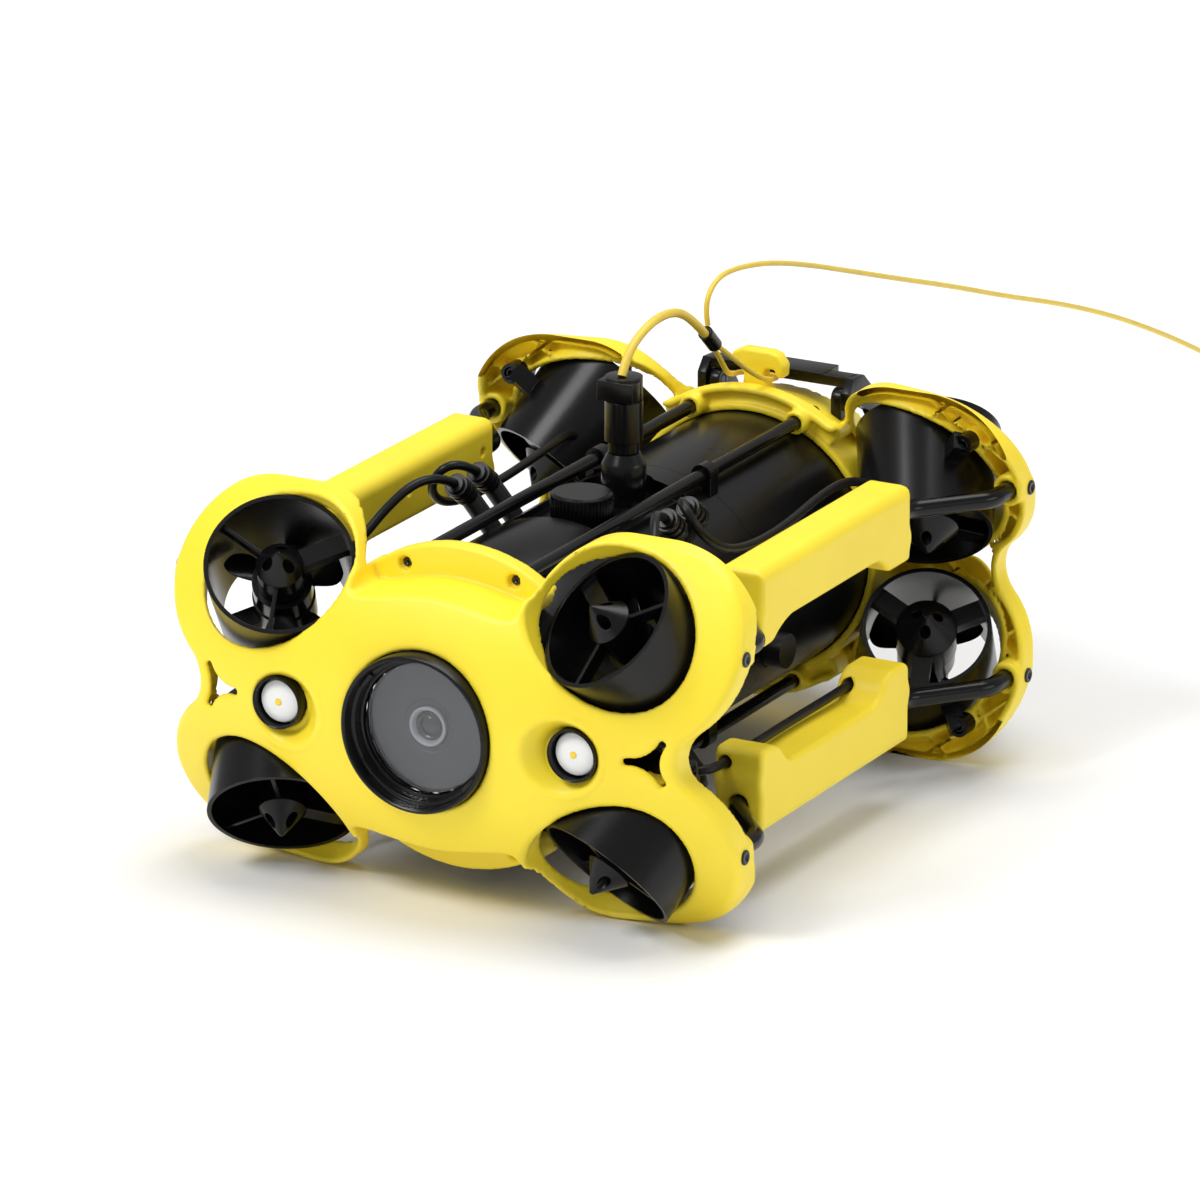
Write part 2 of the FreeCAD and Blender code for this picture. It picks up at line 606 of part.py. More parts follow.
def rear_panel():
    """Rear panel: the same moulding, open in the middle round the battery tube."""
    solid = [panel_shell("rp"), panel_ribs("rr")] + panel_bosses("rb")
    arch_depth = "dims.mirror_plane + dims.panel_reach - dims.arch_front"
    solid.append(cylinder("rp_arch", "dims.hull_radius + dims.gap + dims.arch_wall",
                          "%s - 8" % arch_depth, ("0", "8", "0"), ALONG_Y))
    solid.append(box("rp_foot", "21", "14", "dims.cleat_seat - 52",
                     ("-9", "dims.mirror_plane + dims.panel_reach - dims.cleat_y - 7", "52"), UPRIGHT))
    for label_x, side_x in LEFT_RIGHT:
        for label_z, side_z in UP_DOWN:
            solid.append(cylinder("rp_%s_%s_cup" % (label_z, label_x), "dims.rod_collar",
                                  "%s - dims.ledge_face - 3" % arch_depth,
                                  ("%d * dims.rod_x" % side_x, "dims.ledge_face",
                                   "%d * dims.rod_z" % side_z), ALONG_Y))
    holes = panel_holes("rh")
    holes.append(cylinder("rp_eye", "dims.hull_radius + dims.gap", "120", ("0", "-20", "0"), ALONG_Y))
    for label_x, side_x in LEFT_RIGHT:
        for label_z, side_z in UP_DOWN:
            holes.append(cylinder("rp_%s_%s_bore" % (label_z, label_x), "dims.rod_radius + dims.slip", "30",
                                  ("%d * dims.rod_x" % side_x,
                                   "dims.mirror_plane + dims.panel_reach - dims.rod_rear - dims.gap",
                                   "%d * dims.rod_z" % side_z), ALONG_Y))
    whole = cut("rear_panel_cut", fused("rear_panel_whole", solid), fused("rear_panel_holes", holes))
    whole.Label = "rear_panel"
    place(whole, ("0", "dims.mirror_plane + dims.panel_reach + dims.mid_shift", "dims.axis_height"),
          Rotation(Vector(0, 0, 1), 180))
    NODES.append(whole)


# ---------------------------------------------------------------- pressure hull

def hull_front():
    """Front hull section with its shoulder and the camera neck."""
    body = turned("hull_front_body", (
        ("0", "dims.bezel_front + 12 + dims.gap"),
        ("dims.neck_radius", "dims.bezel_front + 12 + dims.gap"),
        ("dims.neck_radius", "dims.hull_front - 8"),
        ("dims.hull_radius - 10", "dims.hull_front - 3"),
        ("dims.hull_radius - 6", "dims.hull_front"),
        ("dims.hull_radius", "dims.hull_front + 6"),
        ("dims.hull_radius", "dims.seam_front - dims.gap"),
        ("0", "dims.seam_front - dims.gap")), "XY_Plane")
    place(body, ("0", "dims.mid_shift", "dims.axis_height"))
    body.Label = "hull_front"
    NODES.append(body)


def hull_bridge():
    """Middle section: top recess for the port cap and tether socket, side cable bosses."""
    length = "(dims.seam_rear - dims.seam_front)"
    tube = cylinder("bridge_tube", "dims.hull_radius", length, ("0", "dims.seam_front", "0"), ALONG_Y)
    bosses = [tube]
    for label_x, side_x in LEFT_RIGHT:
        turn = ALONG_X if side_x > 0 else AGAINST_X
        bosses.append(cylinder("bridge_gland_%s" % label_x, "8.5", "dims.hull_radius + 4",
                               ("0", "dims.seam_rear - 12", "-10"), turn))
    recess = box("bridge_recess", "2 * dims.pad_half", "dims.pad_rear - dims.seam_front + 10", "20",
                 ("-dims.pad_half", "dims.seam_front - 1", "dims.pad_floor"))
    well = cylinder("bridge_well", "11", "20", ("0", "dims.plug_y + 4", "dims.pad_floor"))
    bores = [recess, well]
    bores.append(cylinder("bridge_port", "6 + dims.slip", "8", ("0", "dims.knob_y", "dims.pad_floor - 7.7")))
    bores.append(cylinder("bridge_socket", "7 + dims.slip", "8",
                          ("0", "dims.plug_y", "dims.pad_floor - 7.7")))
    node(cut("bridge_cut", fused("bridge_solid", bosses), fused("bridge_bores", bores)), "hull_bridge")


def battery():
    """Battery tube, and the battery pack that slides out of it to the rear."""
    tube = cylinder("tube_out", "dims.hull_radius", "dims.tube_rear - dims.seam_rear - dims.gap",
                    ("0", "dims.seam_rear + dims.gap", "0"), ALONG_Y)
    bore = cylinder("tube_bore", "dims.hull_radius - dims.hull_wall", "dims.tube_rear - dims.seam_rear",
                    ("0", "dims.seam_rear + 6", "0"), ALONG_Y)
    node(cut("battery_tube_cut", tube, bore), "battery_tube")
    pack = turned("battery_pack_body", (
        ("0", "dims.seam_rear + 8"),
        ("dims.hull_radius - dims.hull_wall - dims.gap - 2", "dims.seam_rear + 8"),
        ("dims.hull_radius - dims.hull_wall - dims.gap", "dims.seam_rear + 10"),
        ("dims.hull_radius - dims.hull_wall - dims.gap", "dims.tube_rear + 2"),
        ("dims.cap_radius", "dims.tube_rear + 6"),
        ("dims.cap_radius", "dims.cap_rear - 16"),
        ("dims.cap_radius - 4", "dims.cap_rear - 12"),
        ("0", "dims.cap_rear - 12")), "XY_Plane")
    grip = box("battery_grip", "2 * (dims.cap_radius - 10)", "14", "16",
               ("-(dims.cap_radius - 10)", "dims.cap_rear - 14", "-8"))
    node(fused("battery_pack_whole", [pack, grip]), "battery_pack")


# ---------------------------------------------------------------- camera and lamps

def camera():
    """Bezel ring with four water slots, flat window and lens barrel behind it."""
    ring = turned("camera_bezel_body", (
        ("dims.window_radius + dims.gap", "dims.bezel_front + 5"),
        ("dims.bezel_radius - 5", "dims.bezel_front + 4"),
        ("dims.bezel_radius - 1.2", "dims.bezel_front"),
        ("dims.bezel_radius", "dims.bezel_front + 0.8"),
        ("dims.bezel_radius", "dims.bezel_front + 12"),
        ("dims.window_radius + dims.gap", "dims.bezel_front + 12")), "XY_Plane")
    slots = []
    for number in range(4):
        slot = doc.addObject("Part::Box", "bezel_slot_%d" % number)
        slot.Length, slot.Width, slot.Height = 6, 4, 9
        turn = "create(<<rotation>>; create(<<vector>>; 0; 1; 0); %d)" % (40 + 90 * number)
        bind(slot, "Placement", "create(<<placement>>; %s * create(<<vector>>; dims.window_radius + 1.2;"
             " dims.bezel_front + 2; -4.5); %s)" % (turn, turn))
        slots.append(slot)
    node(cut("camera_bezel_cut", ring, fused("bezel_slots", slots)), "camera_bezel")
    barrel = turned("camera_housing_body", (
        ("dims.window_radius - 2.4", "dims.window_front + dims.window_wall + dims.gap"),
        ("dims.window_radius", "dims.window_front + dims.window_wall + dims.gap"),
        ("dims.window_radius", "dims.bezel_front + 12"),
        ("dims.window_radius - 2.4", "dims.bezel_front + 12")), "XY_Plane")
    node(barrel, "camera_housing")
    window = turned("camera_window_body", (
        ("0", "dims.window_front"),
        ("dims.window_radius - 0.8", "dims.window_front"),
        ("dims.window_radius", "dims.window_front + 0.8"),
        ("dims.window_radius", "dims.window_front + dims.window_wall"),
        ("0", "dims.window_front + dims.window_wall")), "XY_Plane")
    node(window, "camera_window")
    lens = turned("camera_lens_body", (
        ("0", "dims.window_front + dims.window_wall + 3.6"),
        ("dims.lens_radius - 3.4", "dims.window_front + dims.window_wall + 3"),
        ("dims.lens_radius - 1", "dims.window_front + dims.window_wall + 1"),
        ("dims.lens_radius", "dims.window_front + dims.window_wall + 1.4"),
        ("dims.lens_radius", "dims.bezel_front + 8"),
        ("dims.window_radius - 2.4 - dims.gap", "dims.bezel_front + 8"),
        ("dims.window_radius - 2.4 - dims.gap", "dims.bezel_front + 12"),
        ("0", "dims.bezel_front + 12")), "XY_Plane")
    node(lens, "camera_lens")


def lamps():
    """Two lamps: a black cup in the panel and a white dome in each cup."""
    cups = []
    domes = []
    for label_x, side_x in LEFT_RIGHT:
        at = ("%d * dims.lamp_x" % side_x, "dims.lamp_front", "0")
        cup = cylinder("lamp_cup_%s" % label_x, "dims.lamp_radius", "22", at, ALONG_Y)
        well = cylinder("lamp_well_%s" % label_x, "dims.lamp_glass + dims.slip", "6",
                        ("%d * dims.lamp_x" % side_x, "dims.lamp_front - 1", "0"), ALONG_Y)
        cups.append(cut("lamp_housing_%s" % label_x, cup, well))
        dome = doc.addObject("Part::Sphere", "lamp_ball_%s" % label_x)
        bind(dome, "Radius", "1.4 * dims.lamp_glass")
        place(dome, ("%d * dims.lamp_x" % side_x, "dims.lamp_front + 1.4 * dims.lamp_glass - 2.6", "0"))
        core = cylinder("lamp_core_%s" % label_x, "dims.lamp_glass", "7.6",
                        ("%d * dims.lamp_x" % side_x, "dims.lamp_front - 3", "0"), ALONG_Y)
        domes.append(common("lamp_lens_%s" % label_x, [dome, core]))
    node(fused("lamp_housings_all", cups), "lamp_housings")
    node(fused("lamp_lenses_all", domes), "lamp_lenses")


# ---------------------------------------------------------------- thrusters

def seat_on_duct(item, side_x, side_y, side_z):
    """Lay a piece modelled on the Z axis onto a duct's own axis."""
    yaw, pitch = duct_angles(side_x, side_y, side_z)
    bind(item, "Placement",
         "create(<<placement>>; create(<<vector>>; %d * dims.duct_x;"
         " dims.mirror_plane + %d * dims.duct_y + dims.mid_shift; %d * dims.duct_z + dims.axis_height);"
         " create(<<rotation>>; %s; %s; 0))" % (side_x, side_y, side_z, yaw, pitch))


def round_duct(item, reach, angle, height):
    """Turn a piece round the duct axis and move it out by a reach."""
    turn = "create(<<rotation>>; create(<<vector>>; 0; 0; 1); %s)" % angle
    bind(item, "Placement", "create(<<placement>>; %s * create(<<vector>>; %s) + create(<<vector>>; 0; 0; %s);"
         " %s)" % (turn, reach, height, turn))
    return item


def local_turn(expression, side_x, side_y, side_z):
    """Angle round the duct of the corner's own mirror image."""
    hand = -side_x * side_y * -1
    return "(%d) * (%s)" % (hand, expression if side_z > 0 else "180 - " + expression)


def duct(corner, side_x, side_y, side_z):
    """Thruster duct with its outer guard, stator arms, motor pod and screw ear."""
    name = "duct_" + corner
    outer = cone(name + "_outer", "dims.duct_tail", "dims.duct_mouth", "2 * dims.duct_half",
                 ("0", "0", "-dims.duct_half"))
    inner = cone(name + "_inner", "dims.duct_tail - dims.duct_wall", "dims.duct_mouth - dims.duct_wall",
                 "2 * dims.duct_half", ("0", "0", "-dims.duct_half"))
    ring = cut(name + "_ring", outer, inner)
    limit = cone(name + "_limit", "dims.duct_tail - dims.duct_wall / 2",
                 "dims.duct_mouth - dims.duct_wall / 2",
                 "2 * dims.duct_half", ("0", "0", "-dims.duct_half"))
    spokes = []
    for number in range(3):
        wide = "dims.strut_wide" if number == 0 else "dims.strut_wall"
        strut = doc.addObject("Part::Box", "%s_strut_%d" % (name, number))
        bind(strut, "Length", "dims.duct_mouth")
        bind(strut, "Width", wide)
        bind(strut, "Height", "dims.strut_depth")
        angle = local_turn("dims.strut_turn", side_x, side_y, side_z) + " + %d" % (120 * number)
        spokes.append(round_duct(strut, "0; -%s / 2; 0" % wide, angle,
                                 "dims.cone_seat + dims.cone_length - dims.strut_depth - 1"))
        arm = doc.addObject("Part::Box", "%s_arm_%d" % (name, number))
        bind(arm, "Length", "dims.duct_mouth")
        bind(arm, "Width", "dims.arm_wide")
        bind(arm, "Height", "dims.arm_depth")
        angle = local_turn("dims.strut_turn", side_x, side_y, side_z) + " + %d" % (120 * number + 60)
        spokes.append(round_duct(arm, "0; -dims.arm_wide / 2; 0", angle, "-dims.duct_half + 2"))
    spokes = common(name + "_spokes", [fused(name + "_arms", spokes), limit])
    cone_top = "dims.cone_seat + dims.cone_length"
    pieces = [ring, spokes]
    pieces.append(cylinder(name + "_cone_base", "dims.cone_radius", "dims.cone_length",
                           ("0", "0", "dims.cone_seat")))
    pieces.append(cone(name + "_cone", "dims.cone_radius", "0.8", "dims.nose_height", ("0", "0", cone_top)))
    pod_low = "dims.hub_low - dims.gap - dims.pod_length"
    pieces.append(cylinder(name + "_pod", "dims.pod_radius", "dims.pod_length", ("0", "0", pod_low)))
    pieces.append(cone(name + "_nose", "0.8", "dims.pod_radius", "dims.nose_height",
                       ("0", "0", pod_low + " - dims.nose_height")))
    ear_angle = local_turn("dims.ear_turn", side_x, side_y, side_z)
    leg = doc.addObject("Part::Box", name + "_leg")
    bind(leg, "Length", "13")
    bind(leg, "Width", "dims.ear_radius * 1.6")
    bind(leg, "Height", "dims.ear_length")
    pieces.append(round_duct(leg, "dims.duct_tail; -dims.ear_radius * 0.8; 0", ear_angle,
                             "-dims.ear_length / 2 - 2"))
    bores = [cylinder(name + "_shaft_bore", "dims.shaft_radius + dims.slip", "dims.shaft_length + 1",
                      ("0", "0", "dims.hub_low - dims.gap - dims.shaft_length - 1"))]
    for number in range(3):
        for end, height, top in (("low", pod_low + " - dims.nose_height / 2", -1),
                                 ("high", cone_top + " + dims.nose_height / 2", 1)):
            bore = doc.addObject("Part::Cylinder", "%s_hole_%s_%d" % (name, end, number))
            bind(bore, "Radius", "dims.nose_hole")
            bind(bore, "Height", "dims.nose_height")
            angle = local_turn("dims.strut_turn", side_x, side_y, side_z) + " + %d" % (120 * number + 60)
            bores.append(round_duct(bore, "dims.cone_radius * 0.52; 0; -dims.nose_height / 2", angle, height))
    whole = cut(name + "_whole", fused(name + "_pieces", pieces), fused(name + "_bores", bores))
    seat_on_duct(whole, side_x, side_y, side_z)
    ear_at = ("%d * dims.ear_x" % side_x, "dims.mid_shift + " + mirrored_y("dims.ear_reach", side_y),
              "%d * dims.ear_z + dims.axis_height" % side_z)
    back = AGAINST_Y if side_y > 0 else ALONG_Y
    ear = cylinder(name + "_ear", "dims.ear_radius", "dims.ear_length", ear_at, back)
    sink = cylinder(name + "_ear_sink", "dims.ear_radius - 1.6", "3.2", (
        ear_at[0], "dims.mid_shift + " + mirrored_y("dims.ear_reach - dims.ear_length + 3.2", side_y),
        ear_at[2]), back)
    tap = cylinder(name + "_ear_tap", "dims.screw_radius + dims.slip", "dims.ear_length + 2", (
        ear_at[0], "dims.mid_shift + " + mirrored_y("dims.ear_reach + 1", side_y), ear_at[2]), back)
    joined = cut(name + "_joined", fused(name + "_eared", [whole, ear]), fused(name + "_taps", [sink, tap]))
    joined.Label = "thruster_duct_" + corner
    NODES.append(joined)


def blade_section(radius, chord, angle, wall):
    """Closed aerofoil wire wrapped flat at one radius of a blade."""
    half = chord / 2
    top = Vector(radius, 0, wall * 0.62)
    low = Vector(radius, 0, -wall * 0.38)
    lead = Vector(radius, -half, 0)
    trail = Vector(radius, half, 0)
    turn = Rotation(Vector(1, 0, 0), angle)
    lead, top, trail, low = [turn.multVec(point) for point in (lead, top, trail, low)]
    return Part.Wire([Part.Arc(lead, top, trail).toShape(), Part.Arc(trail, low, lead).toShape()])


def propeller(corner, side_x, side_y, side_z):
    """Three-bladed propeller with its hub and shaft, on its duct's axis."""
    hand = side_x * side_y * side_z
    hub = size("hub_radius")
    tip = size("blade_radius")
    wall = size("blade_wall")
    blades = []
    stations = ((hub - 2.5, 9.5, 0), (hub + 4, 15.5, 0.3), (hub + 9.5, 18, 0.7), (tip, 11, 1))
    for number in range(3):
        wires = []
        for radius, chord, part in stations:
            angle = size("blade_root") * (1 - part) + size("blade_tip") * part
            wire = blade_section(radius, chord, hand * (90 - angle - 30), wall)
            wires.append(wire)
        blade = Part.makeLoft(wires, True)
        blade.rotate(Vector(0, 0, 0), Vector(0, 0, 1), 120 * number)
        blade.translate(Vector(0, 0, size("hub_low") + size("hub_length") / 2))
        blades.append(blade)
    low = size("hub_low")
    body = Part.makeCylinder(hub, size("hub_length"), Vector(0, 0, low))
    shaft = Part.makeCylinder(size("shaft_radius"), size("shaft_length") + size("gap"),
                              Vector(0, 0, low - size("shaft_length") - size("gap")))
    reach = Part.makeCylinder(tip, 40, Vector(0, 0, low - 14))
    whole = body.fuse(blades).common(reach).fuse(shaft).removeSplitter()
    item = feature("propeller_shape_" + corner, whole)
    seat_on_duct(item, side_x, side_y, side_z)
    item.Label = "propeller_" + corner
    NODES.append(item)


# ---------------------------------------------------------------- side tubes and floats

def bent_path(points, radii=None):
    """Straight runs joined by tangent arcs; a free cord's arcs are as large as its runs allow."""
    edges = []
    start = points[0]
    used = []
    for index in range(1, len(points) - 1):
        before, corner, after = points[index - 1], points[index], points[index + 1]
        arrive = (corner - before).normalize()
        leave = (after - corner).normalize()
        turn = arrive.getAngle(leave)
        run = min((corner - before).Length, (after - corner).Length)
        radius = radii if radii else 0.45 * run / math.tan(turn / 2)
        trim = radius * math.tan(turn / 2)
        first = corner - arrive * trim
        last = corner + leave * trim
        bisector = (leave - arrive).normalize()
        middle = corner + bisector * (radius / math.cos(turn / 2) - radius)
        if (first - start).Length > 1e-6:
            edges.append(Part.LineSegment(start, first).toShape())
        edges.append(Part.Arc(first, middle, last).toShape())
        start = last
        used.append(radius)
    edges.append(Part.LineSegment(start, points[-1]).toShape())
    return Part.Wire(edges), used


def swept(points, radius, bend=None):
    """Round tube along a path."""
    path, radii = bent_path(points, bend)
    direction = points[1] - points[0]
    ring = Part.Wire(Part.makeCircle(radius, points[0], direction))
    return path.makePipeShell([ring], True, False), path, radii


def side_tubes():
    """Four bent tubes that tie the panels together and carry the floats."""
    for label_x, side_x in LEFT_RIGHT:
        for label_z, side_z in UP_DOWN:
            height = side_z * size("tube_z")
            out = side_x * size("tube_out")
            inward = side_x * size("tube_in")
            middle = size("mirror_plane")
            points = [Vector(out, middle - size("tube_end"), height),
                      Vector(out, middle - size("tube_bend"), height),
                      Vector(inward, middle - size("tube_entry"), height),
                      Vector(inward, middle + size("tube_entry"), height),
                      Vector(out, middle + size("tube_bend"), height),
                      Vector(out, middle + size("tube_end"), height)]
            tube, path, radii = swept(points, size("tube_radius"), 14)
            node(feature("tube_%s_%s" % (label_z, label_x), tube), "side_tube_%s_%s" % (label_z, label_x))


def floats():
    """Four foam floats, each two halves closed round a side tube."""
    upper = (("dims.float_front", "dims.float_foot"),
             ("dims.float_front + dims.horn_length * 0.5", "dims.float_foot"),
             ("dims.float_front + dims.horn_length", "dims.float_waist"),
             ("dims.float_rear - dims.horn_length * 1.3", "dims.float_waist"),
             ("dims.float_rear - dims.horn_length", "dims.float_foot"),
             ("dims.float_rear", "dims.float_foot"),
             ("dims.float_rear", "dims.float_top"),
             ("dims.float_front", "dims.float_top"))
    lower = (("dims.float_front", "dims.float_low_base"),
             ("dims.float_rear", "dims.float_low_base"),
             ("dims.float_rear", "dims.float_low_top"),
             ("dims.float_rear - dims.horn_length", "dims.float_low_top"),
             ("dims.float_rear - dims.horn_length * 1.4", "dims.float_low_waist"),
             ("dims.float_front + dims.horn_length * 1.2", "dims.float_low_waist"),
             ("dims.float_front + dims.horn_length * 0.8", "dims.float_low_top"),
             ("dims.float_front", "dims.float_low_top"))
    for label_x, side_x in LEFT_RIGHT:
        for label_z, side_z in UP_DOWN:
            name = "float_%s_%s" % (label_z, label_x)
            corners = upper if side_z > 0 else lower
            halves = []
            for half, inner, outer in (("inner", "dims.float_inner", "dims.tube_in - 0.05"),
                                       ("outer", "dims.tube_in + 0.05", "dims.float_outer")):
                block = pad("%s_%s" % (name, half), corners, "%s - (%s)" % (outer, inner), "YZ_Plane")
                place(block, ("%d * (%s + %s) / 2" % (side_x, inner, outer), "0", "0"))
                halves.append(block)
            middle = "(dims.float_inner + dims.float_outer) / 2"
            top = "dims.float_top" if side_z > 0 else "dims.float_low_top"
            low = "dims.float_foot" if side_z > 0 else "dims.float_low_base"
            form = pad(name + "_form", (
                ("-(dims.float_outer - dims.float_inner) / 2", low),
                ("(dims.float_outer - dims.float_inner) / 2", low),
                ("(dims.float_outer - dims.float_inner) / 2", "%s - dims.float_round * 0.8" % top),
                ("(dims.float_outer - dims.float_inner) / 2 - dims.float_round * 0.3",
                 "%s - dims.float_round * 0.25" % top),
                ("(dims.float_outer - dims.float_inner) / 2 - dims.float_round", top),
                ("-(dims.float_outer - dims.float_inner) / 2 + dims.float_round", top),
                ("-(dims.float_outer - dims.float_inner) / 2 + dims.float_round * 0.3",
                 "%s - dims.float_round * 0.25" % top),
                ("-(dims.float_outer - dims.float_inner) / 2", "%s - dims.float_round * 0.8" % top)),
                "4 * dims.float_rear - 2 * dims.float_front", "XZ_Plane")
            place(form, ("%d * %s" % (side_x, middle), "0", "0"))
            bore = cylinder(name + "_bore", "dims.tube_radius + 0.05",
                            "dims.float_rear - dims.float_front + 2",
                            ("%d * dims.tube_in" % side_x, "dims.float_front - 1",
                             "%d * dims.tube_z" % side_z), ALONG_Y)
            both = common(name + "_both", [fused(name + "_halves", halves), form])
            holes = [bore]
            if side_z < 0:
                holes.append(cylinder(name + "_cable", "dims.cable_radius + dims.cable_room",
                                      "dims.float_rear - dims.float_front + 2",
                                      ("%d * dims.cable_hole_x" % side_x, "dims.float_front - 1",
                                       "-dims.cable_hole_z"), ALONG_Y))
            else:
                for number, station in enumerate(("dims.float_screw_front", "dims.float_screw_rear")):
                    holes.append(cylinder("%s_screw_%d" % (name, number), "dims.float_screw_hole", "6",
                                          ("%d * (dims.float_inner - 1)" % side_x, station,
                                           "dims.float_screw_z"), ALONG_X if side_x > 0 else AGAINST_X))
            node(cut(name + "_cut", both, fused(name + "_holes", holes)), name)


# ---------------------------------------------------------------- frame

def tie_rods():
    """Four straight rods between the panels, drilled at each end for the ledge screws."""
    rods = []
    for label_x, side_x in LEFT_RIGHT:
        for label_z, side_z in UP_DOWN:
            at = ("%d * dims.rod_x" % side_x, "dims.rod_front", "%d * dims.rod_z" % side_z)
            rod = cylinder("rod_%s_%s" % (label_z, label_x), "dims.rod_radius",
                           "dims.rod_rear - dims.rod_front", at, ALONG_Y)
            tap = cylinder("rod_tap_%s_%s" % (label_z, label_x), "dims.screw_radius + dims.slip",
                           "10", (at[0], "dims.rod_front - 1", at[2]), ALONG_Y)
            rods.append(cut("rod_cut_%s_%s" % (label_z, label_x), rod, tap))
    node(fused("rods", rods), "tie_rods")


def rod_clips():
    """Black clips that hold the rods off the hull."""
    clips = []
    for label_x, side_x in LEFT_RIGHT:
        for label_z, side_z in UP_DOWN:
            name = "clip_%s_%s" % (label_z, label_x)
            at = ("%d * dims.rod_x" % side_x, "dims.clip_y - dims.clip_width / 2", "%d * dims.rod_z" % side_z)
            ring = cylinder(name + "_ring", "dims.rod_radius + 1.8", "dims.clip_width", at, ALONG_Y)
            leg = box(name + "_leg", "4", "dims.clip_width", "14",
                      ("%s" % ("dims.rod_x + 0.5" if side_x > 0 else "-dims.rod_x - 4.5"), at[1],
                       "%s" % ("dims.rod_z - 14" if side_z > 0 else "-dims.rod_z")))
            bore = cylinder(name + "_bore", "dims.rod_radius + 0.05", "dims.clip_width + 2",
                            (at[0], at[1] + " - 1", at[2]), ALONG_Y)
            hull = cylinder(name + "_hull", "dims.hull_radius + dims.gap / 3", "dims.clip_width + 2",
                            ("0", at[1] + " - 1", "0"), ALONG_Y)
            clips.append(cut(name, fused(name + "_solid", [ring, leg]), fused(name + "_clear", [bore, hull])))
    node(fused("clips", clips), "rod_clips")


# ---------------------------------------------------------------- top fittings

def port_cap():
    """Knurled screw cap over the charging port."""
    body = turned("port_cap_body", (
        ("0", "dims.pad_floor - 7"), ("6", "dims.pad_floor - 7"), ("6", "dims.pad_floor + dims.gap"),
        ("dims.knob_radius", "dims.pad_floor + dims.gap"), ("dims.knob_radius", "dims.knob_top - 0.8"),
        ("dims.knob_radius - 0.8", "dims.knob_top"), ("0", "dims.knob_top")))
    place(body, ("0", "dims.knob_y + dims.mid_shift", "dims.axis_height"))
    node(body, "port_cap", False)


def tether_connector():
    """Socket in the hull, coupling nut, plug barrel, sleeve and cord clamp, bottom to top."""
    socket = turned("tether_socket_body", (
        ("0", "dims.pad_floor - 7"), ("7", "dims.pad_floor - 7"), ("7", "dims.pad_floor + dims.gap"),
        ("8.8", "dims.pad_floor + dims.gap"), ("8.8", "dims.pad_floor + 4"), ("6.4", "dims.pad_floor + 4"),
        ("6.4", "dims.pad_floor + 13"), ("0", "dims.pad_floor + 13")))
    nut = turned("coupling_nut_body", (
        ("6.4 + dims.slip", "dims.pad_floor + 4 + dims.gap"), ("9.2", "dims.pad_floor + 4 + dims.gap"),
        ("9.6", "dims.pad_floor + 6"), ("9.6", "dims.pad_floor + 17"), ("7", "dims.pad_floor + 22"),
        ("5.2 + dims.slip", "dims.pad_floor + 22"), ("5.2 + dims.slip", "dims.pad_floor + 16"),
        ("6.4 + dims.slip", "dims.pad_floor + 16")))
    barrel = turned("tether_plug_body", (
        ("0", "dims.pad_floor + 13 + dims.gap"), ("6", "dims.pad_floor + 13 + dims.gap"),
        ("6", "dims.pad_floor + 16 - dims.gap"), ("5.2", "dims.pad_floor + 16 - dims.gap"),
        ("5.2", "dims.pad_floor + 22.5"), ("6.6", "dims.pad_floor + 22.5"), ("6.6", "dims.pad_floor + 27"),
        ("8.2", "dims.pad_floor + 27.5"), ("8.2", "dims.plug_top - 10 - dims.gap"),
        ("0", "dims.plug_top - 10 - dims.gap")))
    for body, label in ((socket, "tether_socket"), (nut, "coupling_nut"), (barrel, "tether_plug")):
        place(body, ("0", "dims.plug_y + dims.mid_shift", "dims.axis_height"))
        node(body, label, False)
    block = cylinder("clamp_block", "8", "10", ("0", "dims.plug_y", "dims.plug_top - 10"))
    ears = box("clamp_ears", "17", "7", "8.5", ("-8.5", "dims.plug_y - 8.5", "dims.plug_top - 9.5"))
    node(fused("clamp", [block, ears]), "cord_clamp")


def tether_cleat():
    """Yellow hook on the rear arch that takes the pull of the tether."""
    corners = (("-11", "dims.cleat_seat"), ("8", "dims.cleat_seat"), ("4", "67"), ("2.2", "73"),
               ("3.4", "75.4"), ("7.4", "75.4"), ("8.4", "72"), ("11.8", "72"),
               ("12.2", "78"), ("9", "82.4"), ("5", "dims.cleat_top"),
               ("-8", "dims.cleat_top"), ("-13.5", "81"), ("-12.5", "78"), ("-8.6", "75"), ("-7.4", "72"),
               ("-8", "67"))
    body = pad("cleat_body", corners, "7", "XZ_Plane")
    place(body, ("0", "dims.cleat_y + dims.mid_shift", "dims.axis_height + dims.gap"))
    node(body, "tether_cleat", False)


